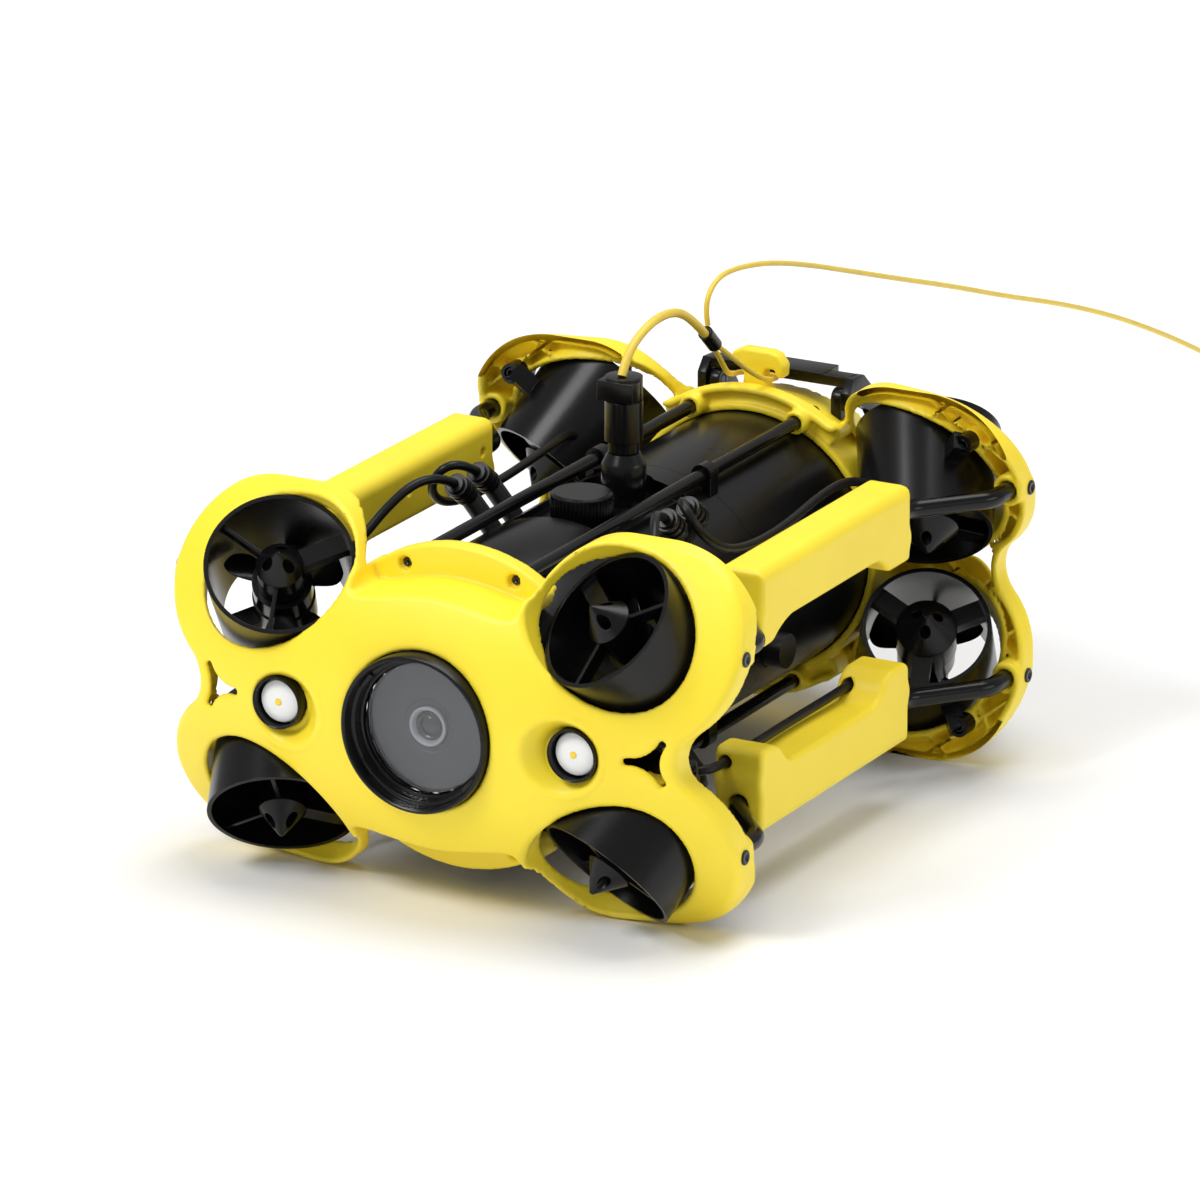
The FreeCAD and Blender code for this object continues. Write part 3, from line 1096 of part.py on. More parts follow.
def battery_latch():
    """Bail that swings over the battery cap, and the two lugs and pins that carry it."""
    bar = box("latch_bar_solid", "2 * dims.latch_x", "dims.latch_bar", "dims.latch_bar_wall",
              ("-dims.latch_x", "dims.latch_y - 1", "dims.latch_z + dims.latch_lift"))
    plate = box("latch_plate_solid", "dims.latch_plate", "dims.latch_plate_long", "dims.latch_plate_wall",
                ("dims.latch_plate_left", "dims.latch_y - 1", "dims.latch_z + dims.latch_lift + 1"))
    pieces = [bar, plate]
    for label_x, side_x in LEFT_RIGHT:
        arm = pad("latch_arm_" + label_x, (
            ("dims.latch_y - 6", "dims.latch_z - 4"), ("dims.latch_y + 5", "dims.latch_z - 4"),
            ("dims.latch_y + 15", "dims.latch_z - 9"), ("dims.latch_y + 21", "dims.latch_z - 17"),
            ("dims.latch_y + 27", "dims.latch_z - 17"), ("dims.latch_y + 25", "dims.latch_z - 8"),
            ("dims.latch_y + 18", "dims.latch_z + 1"), ("dims.latch_y + 9", "dims.latch_z + 9"),
            ("dims.latch_y - 1", "dims.latch_z + 9.6"), ("dims.latch_y - 6", "dims.latch_z + 4")),
            "dims.latch_arm", "YZ_Plane")
        place(arm, ("%d * (dims.latch_x + 1)" % side_x, "0", "0"))
        pieces.append(arm)
    across = ("-2 * dims.latch_x", "dims.latch_y", "dims.latch_z")
    bore = cylinder("latch_bore", "dims.latch_pin + dims.slip", "4 * dims.latch_x", across, ALONG_X)
    node(cut("latch_cut", fused("latch_whole", pieces), bore), "battery_latch")
    lugs = []
    pins = []
    for label_x, side_x in LEFT_RIGHT:
        start = "dims.lug_inner" if side_x > 0 else "-dims.lug_inner - dims.lug_wall"
        lugs.append(box("lug_leg_" + label_x, "dims.lug_wall", "2 * dims.lug_radius", "dims.lug_foot",
                        (start, "dims.latch_y - dims.lug_radius", "dims.latch_z - dims.lug_foot")))
        lugs.append(cylinder("lug_eye_" + label_x, "dims.lug_radius", "dims.lug_wall",
                             (start, "dims.latch_y", "dims.latch_z"), ALONG_X))
        outer = "dims.lug_inner" if side_x > 0 else "-dims.lug_inner - dims.latch_pin_length"
        pins.append(cylinder("latch_pin_" + label_x, "dims.latch_pin", "dims.latch_pin_length",
                             (outer, "dims.latch_y", "dims.latch_z"), ALONG_X))
    hull = cylinder("lug_clear", "dims.hull_radius + dims.gap + dims.arch_wall + 0.05", "60",
                    ("0", "dims.latch_y - 30", "0"), ALONG_Y)
    hole = cylinder("lug_bore", "dims.latch_pin + dims.slip", "4 * dims.latch_x", across, ALONG_X)
    node(cut("lugs_cut", fused("lugs", lugs), fused("lugs_clear", [hull, hole])), "latch_lugs")
    node(fused("pins", pins), "latch_pins")


# ---------------------------------------------------------------- motor cables and fasteners

def cable_glands():
    """Side ports of the middle section, and the ribbed elbow of each motor cable."""
    glands = []
    for label_x, side_x in LEFT_RIGHT:
        turn = ALONG_X if side_x > 0 else AGAINST_X
        glands.append(cylinder("gland_" + label_x, "7.6", "9",
                               ("%d * (dims.hull_radius + 4 + dims.gap)" % side_x, "dims.seam_rear - 12", "-10"),
                               turn))
    node(fused("glands", glands), "cable_glands")
    elbows = []
    for label_x, side_x in LEFT_RIGHT:
        for label_z, side_z in UP_DOWN:
            for label_y, station in (("front", "dims.elbow_front"), ("rear", "dims.elbow_rear")):
                name = "elbow_%s_%s_%s" % (label_y, label_z, label_x)
                spread = math.degrees(math.atan2(side_x * size("elbow_x"), side_z * size("elbow_z")))
                leg = cylinder(name + "_leg", "4.4", "dims.elbow_reach", ("0", station, "0"),
                               Rotation(Vector(0, 1, 0), spread))
                barrel = doc.addObject("Part::Cylinder", name + "_barrel")
                ribs = [leg, barrel]
                bind(barrel, "Radius", "4")
                bind(barrel, "Height", "dims.elbow_length")
                tilt = Rotation(Vector(1, 0, 0), 54.6 if side_z > 0 else 125.4)
                place(barrel, ("%d * dims.elbow_x" % side_x, station, "%d * dims.elbow_z" % side_z), tilt)
                for number in range(3):
                    rib = doc.addObject("Part::Cylinder", "%s_rib_%d" % (name, number))
                    bind(rib, "Radius", "5.2")
                    bind(rib, "Height", "2.6")
                    step = tilt.multVec(Vector(0, 0, 2 + 4.3 * number))
                    place(rib, ("%d * dims.elbow_x" % side_x, "%s + %.4f" % (station, step.y),
                                "%d * dims.elbow_z + %.4f" % (side_z, step.z)), tilt)
                    ribs.append(rib)
                elbows.append(fused(name, ribs))
    clear = cylinder("elbow_clear", "dims.hull_radius + dims.gap / 3", "120",
                     ("0", "dims.seam_front - 20", "0"), ALONG_Y)
    node(cut("elbows_cut", fused("elbows", elbows), clear), "cable_elbows")


def thruster_cables():
    """Eight motor cables, each from its elbow on the hull to the wall of its duct."""
    cables = []
    front = ((50, -65.2, 65.9), (51.5, -75, 71), (57, -87, 71), (63, -99, 63), (68, -109, 53),
             (73.6, -119.8, 43.1))
    through = ((50, -46.2, 65.9), (52, -55, 71.5), (58, -65, 70), (65, -76, 60), (71, -88, 47), (76, -99, 35),
               (81.5, -108.5, 27.5), (89, -110.5, 25), (94.5, -104, 24.6), (94.8, -86, 24.6), (93.6, -58, 25.4),
               (93.2, -28, 25.6), (94.6, 0, 24.9), (94.5, 28, 24.6), (94.3, 46, 25.4), (88, 58, 30),
               (80, 71, 37.5), (73.6, 81.8, 43.1))
    rear = ((50, -46.2, 65.9), (52, -55, 71.5), (58, -62, 70.5), (64, -61, 61), (67, -50, 51.5), (68, -34, 46),
            (68.5, -10, 44), (68, 16, 45), (67, 40, 47.5), (68, 60, 49), (70.5, 72, 47), (73.6, 81.8, 43.1))
    for label_x, side_x in LEFT_RIGHT:
        for label_z, side_z in UP_DOWN:
            for label_y, route in (("front", front), ("rear", rear if side_z > 0 else through)):
                points = [Vector(side_x * x, y, side_z * z) for x, y, z in route]
                tube, path, radii = swept(points, size("cable_radius"))
                print("cable", label_y, label_z, label_x, [round(radius, 1) for radius in radii])
                cables.append(tube)
    node(feature("motor_cables", Part.makeCompound(cables)), "thruster_cables")


# ---------------------------------------------------------------- tether

# Points of the tether's routes, in the row's own frame.
WHIP = ((0, -1.8, 187.8), (0, 2.5, 195.5), (0, 13, 201.5), (0, 28, 205.2), (0, 46, 204), (0, 61, 196.5),
        (0, 73, 186.6))
LOOP = ((1.4, 82.4, 178.9), (3.2, 93, 171), (5.2, 105, 162), (6.8, 118, 154.7), (6.2, 132.6, 152.8),
        (-11.6, 132.6, 152.8), (-11.8, 118, 154.7), (-7.4, 105, 162), (-4, 93, 171), (-1.4, 82.4, 178.9))
LINE = ((0, 75.5, 190.2), (0, 73.3, 196), (0, 76, 204.6), (0, 87, 209.5), (0, 108, 208), (0, 134, 203),
        (0, 168, 193.4), (0, 209, 180), (0, 256, 164.5), (0, 309, 147.5), (0, 366, 128), (0, 424, 109.5),
        (0, 481, 89), (0, 536, 66), (0, 586, 43),
        (0, 628, 22), (0, 660, 8.2), (0.6, 684, 1.2), (3, 705, 1.2), (9, 722, 1.2))


def tether():
    """Whip from the connector, loop round the cleat, ferrule, and the line that trails astern."""
    for points, radius, label in ((WHIP, "whip_radius", "tether_whip"), (LOOP, "line_radius", "tether_loop"),
                                  (LINE, "line_radius", "tether_line")):
        tube, path, radii = swept([Vector(*point) for point in points], size(radius))
        print(label, [round(radius, 1) for radius in radii], "length", round(path.Length, 1),
              "volume ratio", round(tube.Volume / (path.Length * math.pi * size(radius) ** 2), 4))
        node(feature(label + "_tube", tube), label, False)
    ferrule = doc.addObject("Part::Cylinder", "ferrule")
    bind(ferrule, "Radius", "dims.ferrule_radius")
    bind(ferrule, "Height", "dims.ferrule_length")
    ferrule.Placement = Placement(Vector(0, 73.2, 187.2), Rotation(Vector(0, 0, 1), Vector(0, 0.745, -0.667)))
    node(ferrule, "tether_ferrule", False)
    ring = turned("coil_body", (
        ("dims.coil_mean - dims.coil_half", "0"), ("dims.coil_mean + dims.coil_half", "0"),
        ("dims.coil_mean + dims.coil_half", "2 * dims.coil_half"),
        ("dims.coil_mean - dims.coil_half", "2 * dims.coil_half")))
    place(ring, ("dims.coil_x", "dims.coil_y", "0"))
    node(ring, "tether_coil", False)
    plug = turned("end_plug_body", (
        ("0", "0"), ("2.6", "0"), ("3.4", "9"), ("4.6", "9.5"), ("4.6", "24"), ("3.8", "24.4"), ("3.8", "32"),
        ("0", "32")))
    place(plug, ("dims.coil_x - 14", "dims.coil_y + dims.coil_mean + dims.coil_half + 4.6 + dims.gap", "4.6"),
          ALONG_X)
    node(plug, "tether_end_plug", False)


def screws():
    """Side screws that pin the tubes, and cap screws in the ledges and duct ears."""
    pins = []
    caps = []
    for label_y, side_y in FRONT_REAR:
        for label_x, side_x in LEFT_RIGHT:
            for label_z, side_z in UP_DOWN:
                name = "%s_%s_%s" % (label_y, label_z, label_x)
                turn = ALONG_X if side_x > 0 else AGAINST_X
                station = mirrored_y("dims.panel_reach - dims.socket_mouth + 9", side_y)
                height = "%d * dims.tube_z" % side_z
                out = "dims.lobe_x + dims.lobe_radius"
                head = cylinder("side_head_" + name, "3.2", "1", (
                    "%d * (%s)" % (side_x, out), station, height), turn)
                start = "dims.tube_out + dims.tube_radius + dims.gap"
                shank = cylinder("side_shank_" + name, "dims.screw_radius",
                                 "%s - (%s)" % (out, start),
                                 ("%d * (%s)" % (side_x, start), station, height), turn)
                pins.append(fused("side_screw_" + name, [head, shank]))
                away = ALONG_Y if side_y > 0 else AGAINST_Y
                ear = cylinder("ear_head_" + name, "dims.ear_radius - 1.8", "2.6", (
                    "%d * dims.ear_x" % side_x,
                    mirrored_y("dims.ear_reach - dims.ear_length + 0.6", side_y),
                    "%d * dims.ear_z" % side_z), away)
                body = cylinder("ear_shank_" + name, "dims.screw_radius", "dims.ear_length + 4", (
                    "%d * dims.ear_x" % side_x,
                    mirrored_y("dims.ear_reach - dims.ear_length + 1", side_y),
                    "%d * dims.ear_z" % side_z), away)
                caps.append(fused("ear_screw_" + name, [ear, body]))
    node(fused("side_screws_all", pins), "side_screws")
    node(fused("ear_screws_all", caps), "ear_screws")
    ledge = []
    for label_x, side_x in LEFT_RIGHT:
        for label_z, side_z in UP_DOWN:
            name = "ledge_%s_%s" % (label_z, label_x)
            front = "dims.mirror_plane - dims.panel_reach + dims.ledge_face"
            at = ("%d * dims.rod_x" % side_x, front + " + dims.sink_depth - 1", "%d * dims.rod_z" % side_z)
            head = cylinder(name + "_head", "dims.sink_radius - 0.5", "1", at, ALONG_Y)
            shank = cylinder(name + "_shank", "dims.screw_radius", "9.6", at, ALONG_Y)
            ledge.append(fused(name, [head, shank]))
    node(fused("ledge_screws_all", ledge), "ledge_screws")


hull_front()
hull_bridge()
battery()
camera()
lamps()
for name_y, end in FRONT_REAR:
    for name_z, rise in UP_DOWN:
        for name_x, side in LEFT_RIGHT:
            where = "%s_%s_%s" % (name_y, name_z, name_x)
            duct(where, side, end, rise)
            propeller(where, side, end, rise)
side_tubes()
floats()
tie_rods()
rod_clips()
port_cap()
tether_connector()
tether_cleat()
battery_latch()
cable_glands()
thruster_cables()
tether()
screws()
front_panel()
rear_panel()


# ---------------------------------------------------------------- finish

doc.recompute()
faults = []
for item in doc.Objects:
    if "Invalid" in item.State or "Error" in item.State:
        faults.append("%s %s" % (item.Name, item.State))
for item in NODES:
    if item.Shape.isNull() or not item.Shape.isValid() or not item.Shape.Solids:
        faults.append("%s has no sound solid" % item.Label)
if faults:
    raise RuntimeError("; ".join(faults))

os.makedirs("parts", exist_ok=True)
for item in NODES:
    item.Shape.exportStep("parts/%s.step" % item.Label)
    print(item.Label, len(item.Shape.Solids), round(item.Shape.Volume))
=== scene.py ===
import math
import bmesh
import bpy
import numpy as np
from mathutils import Matrix, Vector


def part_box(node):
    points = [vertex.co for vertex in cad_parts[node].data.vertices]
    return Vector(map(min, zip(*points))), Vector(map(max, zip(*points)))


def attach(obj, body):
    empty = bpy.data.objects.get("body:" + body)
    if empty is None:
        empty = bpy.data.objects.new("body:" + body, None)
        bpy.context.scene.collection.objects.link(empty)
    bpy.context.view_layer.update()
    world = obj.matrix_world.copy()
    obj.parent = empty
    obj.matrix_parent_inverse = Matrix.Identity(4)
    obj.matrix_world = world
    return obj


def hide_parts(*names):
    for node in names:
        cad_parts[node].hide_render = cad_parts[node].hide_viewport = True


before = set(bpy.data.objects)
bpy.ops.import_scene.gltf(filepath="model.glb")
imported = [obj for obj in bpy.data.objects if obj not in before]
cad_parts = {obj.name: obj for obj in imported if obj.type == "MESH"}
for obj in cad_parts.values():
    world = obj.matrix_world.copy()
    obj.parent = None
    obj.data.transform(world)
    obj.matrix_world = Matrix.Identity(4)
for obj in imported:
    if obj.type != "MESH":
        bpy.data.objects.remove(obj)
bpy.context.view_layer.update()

scene = bpy.context.scene

# ------------------------------------------------------------------ camera
# Long lens from ahead of the bow and from +X, a little above the vehicle. The bow points along
# -Y, so +X is the port side. "right" in the names of pieces is +X, as seen from ahead.

eye = bpy.data.cameras.new("eye")
eye.lens = 270.47
eye.sensor_width = 36
eye.clip_end = 20
camera = bpy.data.objects.new("eye", eye)
camera.location = (1.726965, -3.195153, 1.289243)
camera.rotation_euler = (math.radians(90 - 18.3), 0, math.radians(28.55))
scene.collection.objects.link(camera)
scene.camera = camera

# ------------------------------------------------------------------ studio
# White floor and world, and three soft lamps: the key from ahead and above, a broad one
# overhead, and a weak fill from +X.


def studio_paint(name, colour, near, far, glow):
    """Matte white paint whose far part is evened out to plain white for the camera alone."""
    material = bpy.data.materials.new(name)
    material.use_nodes = True
    nodes = material.node_tree.nodes
    links = material.node_tree.links
    shader = nodes["Principled BSDF"]
    shader.inputs["Base Color"].default_value = colour
    shader.inputs["Roughness"].default_value = 0.9
    shader.inputs["Emission Color"].default_value = (1, 1, 1, 1)
    place = nodes.new("ShaderNodeTexCoord")
    reach = nodes.new("ShaderNodeVectorMath")
    reach.operation = "LENGTH"
    links.new(place.outputs["Object"], reach.inputs[0])
    fade = nodes.new("ShaderNodeMapRange")
    fade.inputs["From Min"].default_value = near
    fade.inputs["From Max"].default_value = far
    fade.inputs["To Max"].default_value = glow
    links.new(reach.outputs["Value"], fade.inputs["Value"])
    watched = nodes.new("ShaderNodeLightPath")
    shown = nodes.new("ShaderNodeMath")
    shown.operation = "MULTIPLY"
    links.new(fade.outputs["Result"], shown.inputs[0])
    links.new(watched.outputs["Is Camera Ray"], shown.inputs[1])
    links.new(shown.outputs["Value"], shader.inputs["Emission Strength"])
    return material


floor_size = 12
floor_mesh = bpy.data.meshes.new("studio_floor")
floor_mesh.from_pydata([(-floor_size, -floor_size, 0), (floor_size, -floor_size, 0),
                        (floor_size, floor_size, 0), (-floor_size, floor_size, 0)], [], [(0, 1, 2, 3)])
floor = bpy.data.objects.new("studio_floor", floor_mesh)
scene.collection.objects.link(floor)
floor_finish = studio_paint("studio_white", (0.93, 0.93, 0.93, 1), 0.6, 1.8, 0.7)
floor_mesh.materials.append(floor_finish)

world = bpy.data.worlds.new("studio")
world.use_nodes = True
scene.world = world
sky = world.node_tree.nodes["Background"]
path_kind = world.node_tree.nodes.new("ShaderNodeLightPath")
seen = world.node_tree.nodes.new("ShaderNodeMath")
seen.operation = "MAXIMUM"
world.node_tree.links.new(path_kind.outputs["Is Camera Ray"], seen.inputs[0])
world.node_tree.links.new(path_kind.outputs["Is Transmission Ray"], seen.inputs[1])
level = world.node_tree.nodes.new("ShaderNodeMapRange")
level.inputs["To Min"].default_value = 0.42
level.inputs["To Max"].default_value = 1.0
world.node_tree.links.new(seen.outputs[0], level.inputs["Value"])
world.node_tree.links.new(level.outputs["Result"], sky.inputs["Strength"])
sky.inputs["Color"].default_value = (1, 1, 1, 1)


def soft_lamp(name, place, target, width, height, watts):
    """Rectangular studio lamp turned towards a point."""
    data = bpy.data.lights.new(name, "AREA")
    data.shape = "RECTANGLE"
    data.size = width
    data.size_y = height
    data.energy = watts
    lamp = bpy.data.objects.new(name, data)
    lamp.location = place
    lamp.rotation_euler = (Vector(target) - Vector(place)).to_track_quat("-Z", "Y").to_euler()
    scene.collection.objects.link(lamp)


soft_lamp("key_lamp", (-0.9, -1.7, 2.1), (0, 0, 0.1), 1.1, 0.9, 40)
soft_lamp("top_lamp", (0.2, 0.4, 2.2), (0, 0, 0.1), 1.5, 1.5, 30)
soft_lamp("side_lamp", (2.2, 0.3, 0.8), (0, 0, 0.1), 1.2, 0.5, 5)
scene.view_settings.view_transform = "Standard"

# ------------------------------------------------------------------ tether
# Yellow polyurethane cable: a thick whip from the connector to a black ferrule, a loop that takes
# the pull round the cleat, and the thin line that trails astern to the floor, where its spare
# length lies in a small coil behind an in-line plug. It never carries a kink.

MM = 0.001
WHIP = ((0, -1.8, 187.8), (0, 2.5, 195.5), (0, 13, 201.5), (0, 28, 205.2), (0, 46, 204), (0, 61, 196.5),
        (0, 73, 186.6))
LOOP = ((1.4, 82.4, 178.9), (3.2, 93, 171), (5.2, 105, 162), (6.8, 118, 154.7), (6.2, 132.6, 152.8),
        (-11.6, 132.6, 152.8), (-11.8, 118, 154.7), (-7.4, 105, 162), (-4, 93, 171), (-1.4, 82.4, 178.9))
LINE = ((0, 75.5, 190.2), (0, 73.3, 196), (0, 76, 204.6), (0, 87, 209.5), (0, 108, 208), (0, 134, 203),
        (0, 168, 193.4), (0, 209, 180), (0, 256, 164.5), (0, 309, 147.5), (0, 366, 128), (0, 424, 109.5),
        (0, 481, 89), (0, 536, 66), (0, 586, 43), (0, 628, 22), (0, 660, 8.2), (0.6, 684, 1.2), (3, 705, 1.2))
line_width = 2.4
whip_width = 3.9

coil_low, coil_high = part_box("tether_coil")
coil_middle = (coil_low + coil_high) / 2
coil_outer = (coil_high.x - coil_low.x) / 2 / MM
plug_low, plug_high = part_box("tether_end_plug")
turns_in_layer = 2.6
layers = 3
steps_in_turn = 14
coil_points = []
outer_turn = coil_outer - line_width / 2
inner_turn = outer_turn - line_width * (turns_in_layer - 0.6)
for step in range(int(turns_in_layer * layers * steps_in_turn) + 1):
    turns = step / steps_in_turn
    layer = min(int(turns / turns_in_layer), layers - 1)
    share = turns / turns_in_layer - layer
    if layer % 2:
        share = 1 - share
    radius = outer_turn + (inner_turn - outer_turn) * share
    lift = line_width * (0.5 + layer)
    angle = math.pi - 2 * math.pi * turns
    coil_points.append((coil_middle.x / MM + radius * math.cos(angle),
                        coil_middle.y / MM + radius * math.sin(angle), lift))
plug_entry = (plug_low.x / MM, (plug_low.y + plug_high.y) / 2 / MM, (plug_low.z + plug_high.z) / 2 / MM)


def cable_finish(name, colour):
    """Extruded polyurethane jacket: a soft sheen, a faint grain and slight colour drift."""
    material = bpy.data.materials.new(name)
    material.use_nodes = True
    tree = material.node_tree
    shader = tree.nodes["Principled BSDF"]
    place = tree.nodes.new("ShaderNodeTexCoord")
    drift = tree.nodes.new("ShaderNodeTexNoise")
    drift.inputs["Scale"].default_value = 90
    drift.inputs["Detail"].default_value = 3
    tree.links.new(place.outputs["Object"], drift.inputs["Vector"])
    ramp = tree.nodes.new("ShaderNodeValToRGB")
    ramp.color_ramp.elements[0].position = 0.3
    ramp.color_ramp.elements[1].position = 0.7
    ramp.color_ramp.elements[0].color = [value * 0.9 for value in colour[:3]] + [1]
    ramp.color_ramp.elements[1].color = colour
    tree.links.new(drift.outputs["Fac"], ramp.inputs["Fac"])
    tree.links.new(ramp.outputs["Color"], shader.inputs["Base Color"])
    grain = tree.nodes.new("ShaderNodeTexNoise")
    grain.inputs["Scale"].default_value = 1800
    tree.links.new(place.outputs["Object"], grain.inputs["Vector"])
    bump = tree.nodes.new("ShaderNodeBump")
    bump.inputs["Strength"].default_value = 0.06
    bump.inputs["Distance"].default_value = 0.0002
    tree.links.new(grain.outputs["Fac"], bump.inputs["Height"])
    tree.links.new(bump.outputs["Normal"], shader.inputs["Normal"])
    shader.inputs["Roughness"].default_value = 0.42
    return material


def cord_curve(name, points, width, material):
    """Round cord along one open NURBS spline whose control points are given in millimetres."""
    data = bpy.data.curves.new(name, "CURVE")
    data.dimensions = "3D"
    data.bevel_depth = width / 2 * MM
    data.bevel_resolution = 5
    data.resolution_u = 8
    data.use_fill_caps = True
    spline = data.splines.new("NURBS")
    spline.points.add(len(points) - 1)
    for knot, point in zip(spline.points, points):
        knot.co = (point[0] * MM, point[1] * MM, point[2] * MM, 1)
    spline.order_u = 3
    spline.use_endpoint_u = True
    data.materials.append(material)
    piece = bpy.data.objects.new(name, data)
    scene.collection.objects.link(piece)
    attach(piece, "frame")
    return piece


def moulded(name, colour, shade, rough=(0.38, 0.5), grain=900, grain_depth=0.00004, drift=14, edge=0.0005,
            metallic=0.0, coat=0.0, gleam=0.5):
    """Moulded or coated surface: slow colour drift, fine grain, uneven gloss and softened edges."""
    material = bpy.data.materials.new(name)
    material.use_nodes = True
    tree = material.node_tree
    shader = tree.nodes["Principled BSDF"]
    place = tree.nodes.new("ShaderNodeTexCoord")
    slow = tree.nodes.new("ShaderNodeTexNoise")
    slow.inputs["Scale"].default_value = drift
    slow.inputs["Detail"].default_value = 4
    slow.inputs["Roughness"].default_value = 0.6
    tree.links.new(place.outputs["Object"], slow.inputs["Vector"])
    tint = tree.nodes.new("ShaderNodeValToRGB")
    tint.color_ramp.elements[0].position = 0.32
    tint.color_ramp.elements[1].position = 0.68
    tint.color_ramp.elements[0].color = (*shade, 1)
    tint.color_ramp.elements[1].color = (*colour, 1)
    tree.links.new(slow.outputs["Fac"], tint.inputs["Fac"])
    tree.links.new(tint.outputs["Color"], shader.inputs["Base Color"])
    gloss = tree.nodes.new("ShaderNodeMapRange")
    gloss.inputs["To Min"].default_value = rough[0]
    gloss.inputs["To Max"].default_value = rough[1]
    tree.links.new(slow.outputs["Fac"], gloss.inputs["Value"])
    tree.links.new(gloss.outputs["Result"], shader.inputs["Roughness"])
    fine = tree.nodes.new("ShaderNodeTexNoise")
    fine.inputs["Scale"].default_value = grain
    fine.inputs["Detail"].default_value = 2
    tree.links.new(place.outputs["Object"], fine.inputs["Vector"])
    soften = tree.nodes.new("ShaderNodeBevel")
    soften.samples = 4
    soften.inputs["Radius"].default_value = edge
    bump = tree.nodes.new("ShaderNodeBump")
    bump.inputs["Strength"].default_value = 0.5
    bump.inputs["Distance"].default_value = grain_depth
    tree.links.new(fine.outputs["Fac"], bump.inputs["Height"])
    tree.links.new(soften.outputs["Normal"], bump.inputs["Normal"])
    tree.links.new(bump.outputs["Normal"], shader.inputs["Normal"])
    shader.inputs["Metallic"].default_value = metallic
    shader.inputs["Coat Weight"].default_value = coat
    shader.inputs["Specular IOR Level"].default_value = gleam
    return material


def welded(node, finish, body, crease=32):
    """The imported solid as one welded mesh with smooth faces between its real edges."""
    mesh = bpy.data.meshes.new(node + "_finished")
    work = bmesh.new()
    work.from_mesh(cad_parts[node].data)
    bmesh.ops.remove_doubles(work, verts=work.verts, dist=2e-6)
    bmesh.ops.dissolve_degenerate(work, edges=work.edges, dist=1e-6)
    for face in work.faces:
        face.smooth = True
        face.material_index = 0
    for edge in work.edges:
        edge.smooth = len(edge.link_faces) == 2 and edge.calc_face_angle(0) < math.radians(crease)
    work.to_mesh(mesh)
    work.free()
    if "custom_normal" in mesh.attributes:
        mesh.attributes.remove(mesh.attributes["custom_normal"])
    mesh.materials.clear()
    mesh.materials.append(finish)
    piece = bpy.data.objects.new(node + "_finished", mesh)
    scene.collection.objects.link(piece)
    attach(piece, body)
    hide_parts(node)
    return piece


tether_yellow = cable_finish("tether_yellow", (0.86, 0.62, 0.07, 1))
whip = cord_curve("whip_cable", WHIP, whip_width, tether_yellow)
loop = cord_curve("loop_cable", LOOP, line_width, tether_yellow)
leave = coil_points[-1]
last = [tuple(leave[axis] + (plug_entry[axis] - leave[axis]) * share for axis in range(3))
        for share in (0.35, 0.7)]
line = cord_curve("line_cable", list(LINE) + coil_points + last + [plug_entry], line_width, tether_yellow)
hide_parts("tether_whip")
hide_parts("tether_loop")
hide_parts("tether_line", "tether_coil")
metal_black = moulded("metal_black", (0.005, 0.005, 0.0055), (0.003, 0.003, 0.0035),
                      rough=(0.18, 0.26), grain=2000, gleam=0.28)
ferrule = welded("tether_ferrule", metal_black, "frame")
end_plug = welded("tether_end_plug", metal_black, "frame")

# ------------------------------------------------------------------ shell panels
# Front and rear panels, two alike mouldings in bright yellow glass-filled nylon: a doubly curved
# skin with four lobes, a rounded rim, crossing ribs behind, sockets for the side tubes, posts for
# the duct ears, collars round the ducts, and crescent ledges that the tie rods are screwed to.

shell_yellow = moulded("shell_yellow", (1.0, 0.80, 0.035), (0.97, 0.74, 0.03),
                       rough=(0.36, 0.46), edge=0.0012)


def round_max(first, second, radius):
    """Intersection of two forms with a rounded edge."""
    return (np.minimum(np.maximum(first, second), -radius)
            + np.hypot(np.maximum(first + radius, 0), np.maximum(second + radius, 0)))


def round_min(first, second, radius):
    """Union of two forms with a filleted corner."""
    return -round_max(-first, -second, radius)


# measures of the panels in millimetres, from the hull's axis and from the apex of the skin
hull_axis = 82.5
bow, stern = -180, 158
plan_reach, plan_radius, bulge_radius = 400, 290, 110
wall = 3
lobe_x, lobe_z, lobe_radius = 92.5, 42.5, 40
shoulder_x, shoulder_z, shoulder_radius = 74, 47.5, 35
waist_x, waist_radius, waist_side, waist_height = 126.8, 14.6, 117.6, 11.4
belly_radius = 69.8
ledge_depth, ledge_reach, ledge_height = 38, 78, 50.5
dome_radius, dome_spread = 52, 4
ring_radius, ring_depth = 70.5, 46
rib_angle, rib_pitch, rib_half, rib_height = 52, 24, 0.75, 9.5
tube_x, tube_z, tube_seat, tube_bore = 126, 42.4, 7, 4.1
ear_x, ear_z, ear_post = 110, 63.5, 4.6
duct_x, duct_z, duct_middle = 84.8, 38.1, 39.8
duct_yaw, duct_tilt, duct_opening = 26.6, 47.9, 32.2
collar_radius, collar_half, collar_height = 33.6, 1.3, 11
star_x, star_reach, star_hollow, star_radius = 101.6, 17.7, 14, 10.8
rod_x, rod_z, rod_cup, rod_sink, rod_hole = 25.5, 58.7, 5.2, 3.1, 1.58
screw_hole = 1.6
arch_outer, arch_inner = 61.5, 58.3
cleat_foot = 10.5
lamp_x, lamp_seat, lamp_bore, flare_radius = 69.3, 13.6, 11.4, 11.9
camera_opening = 34.1


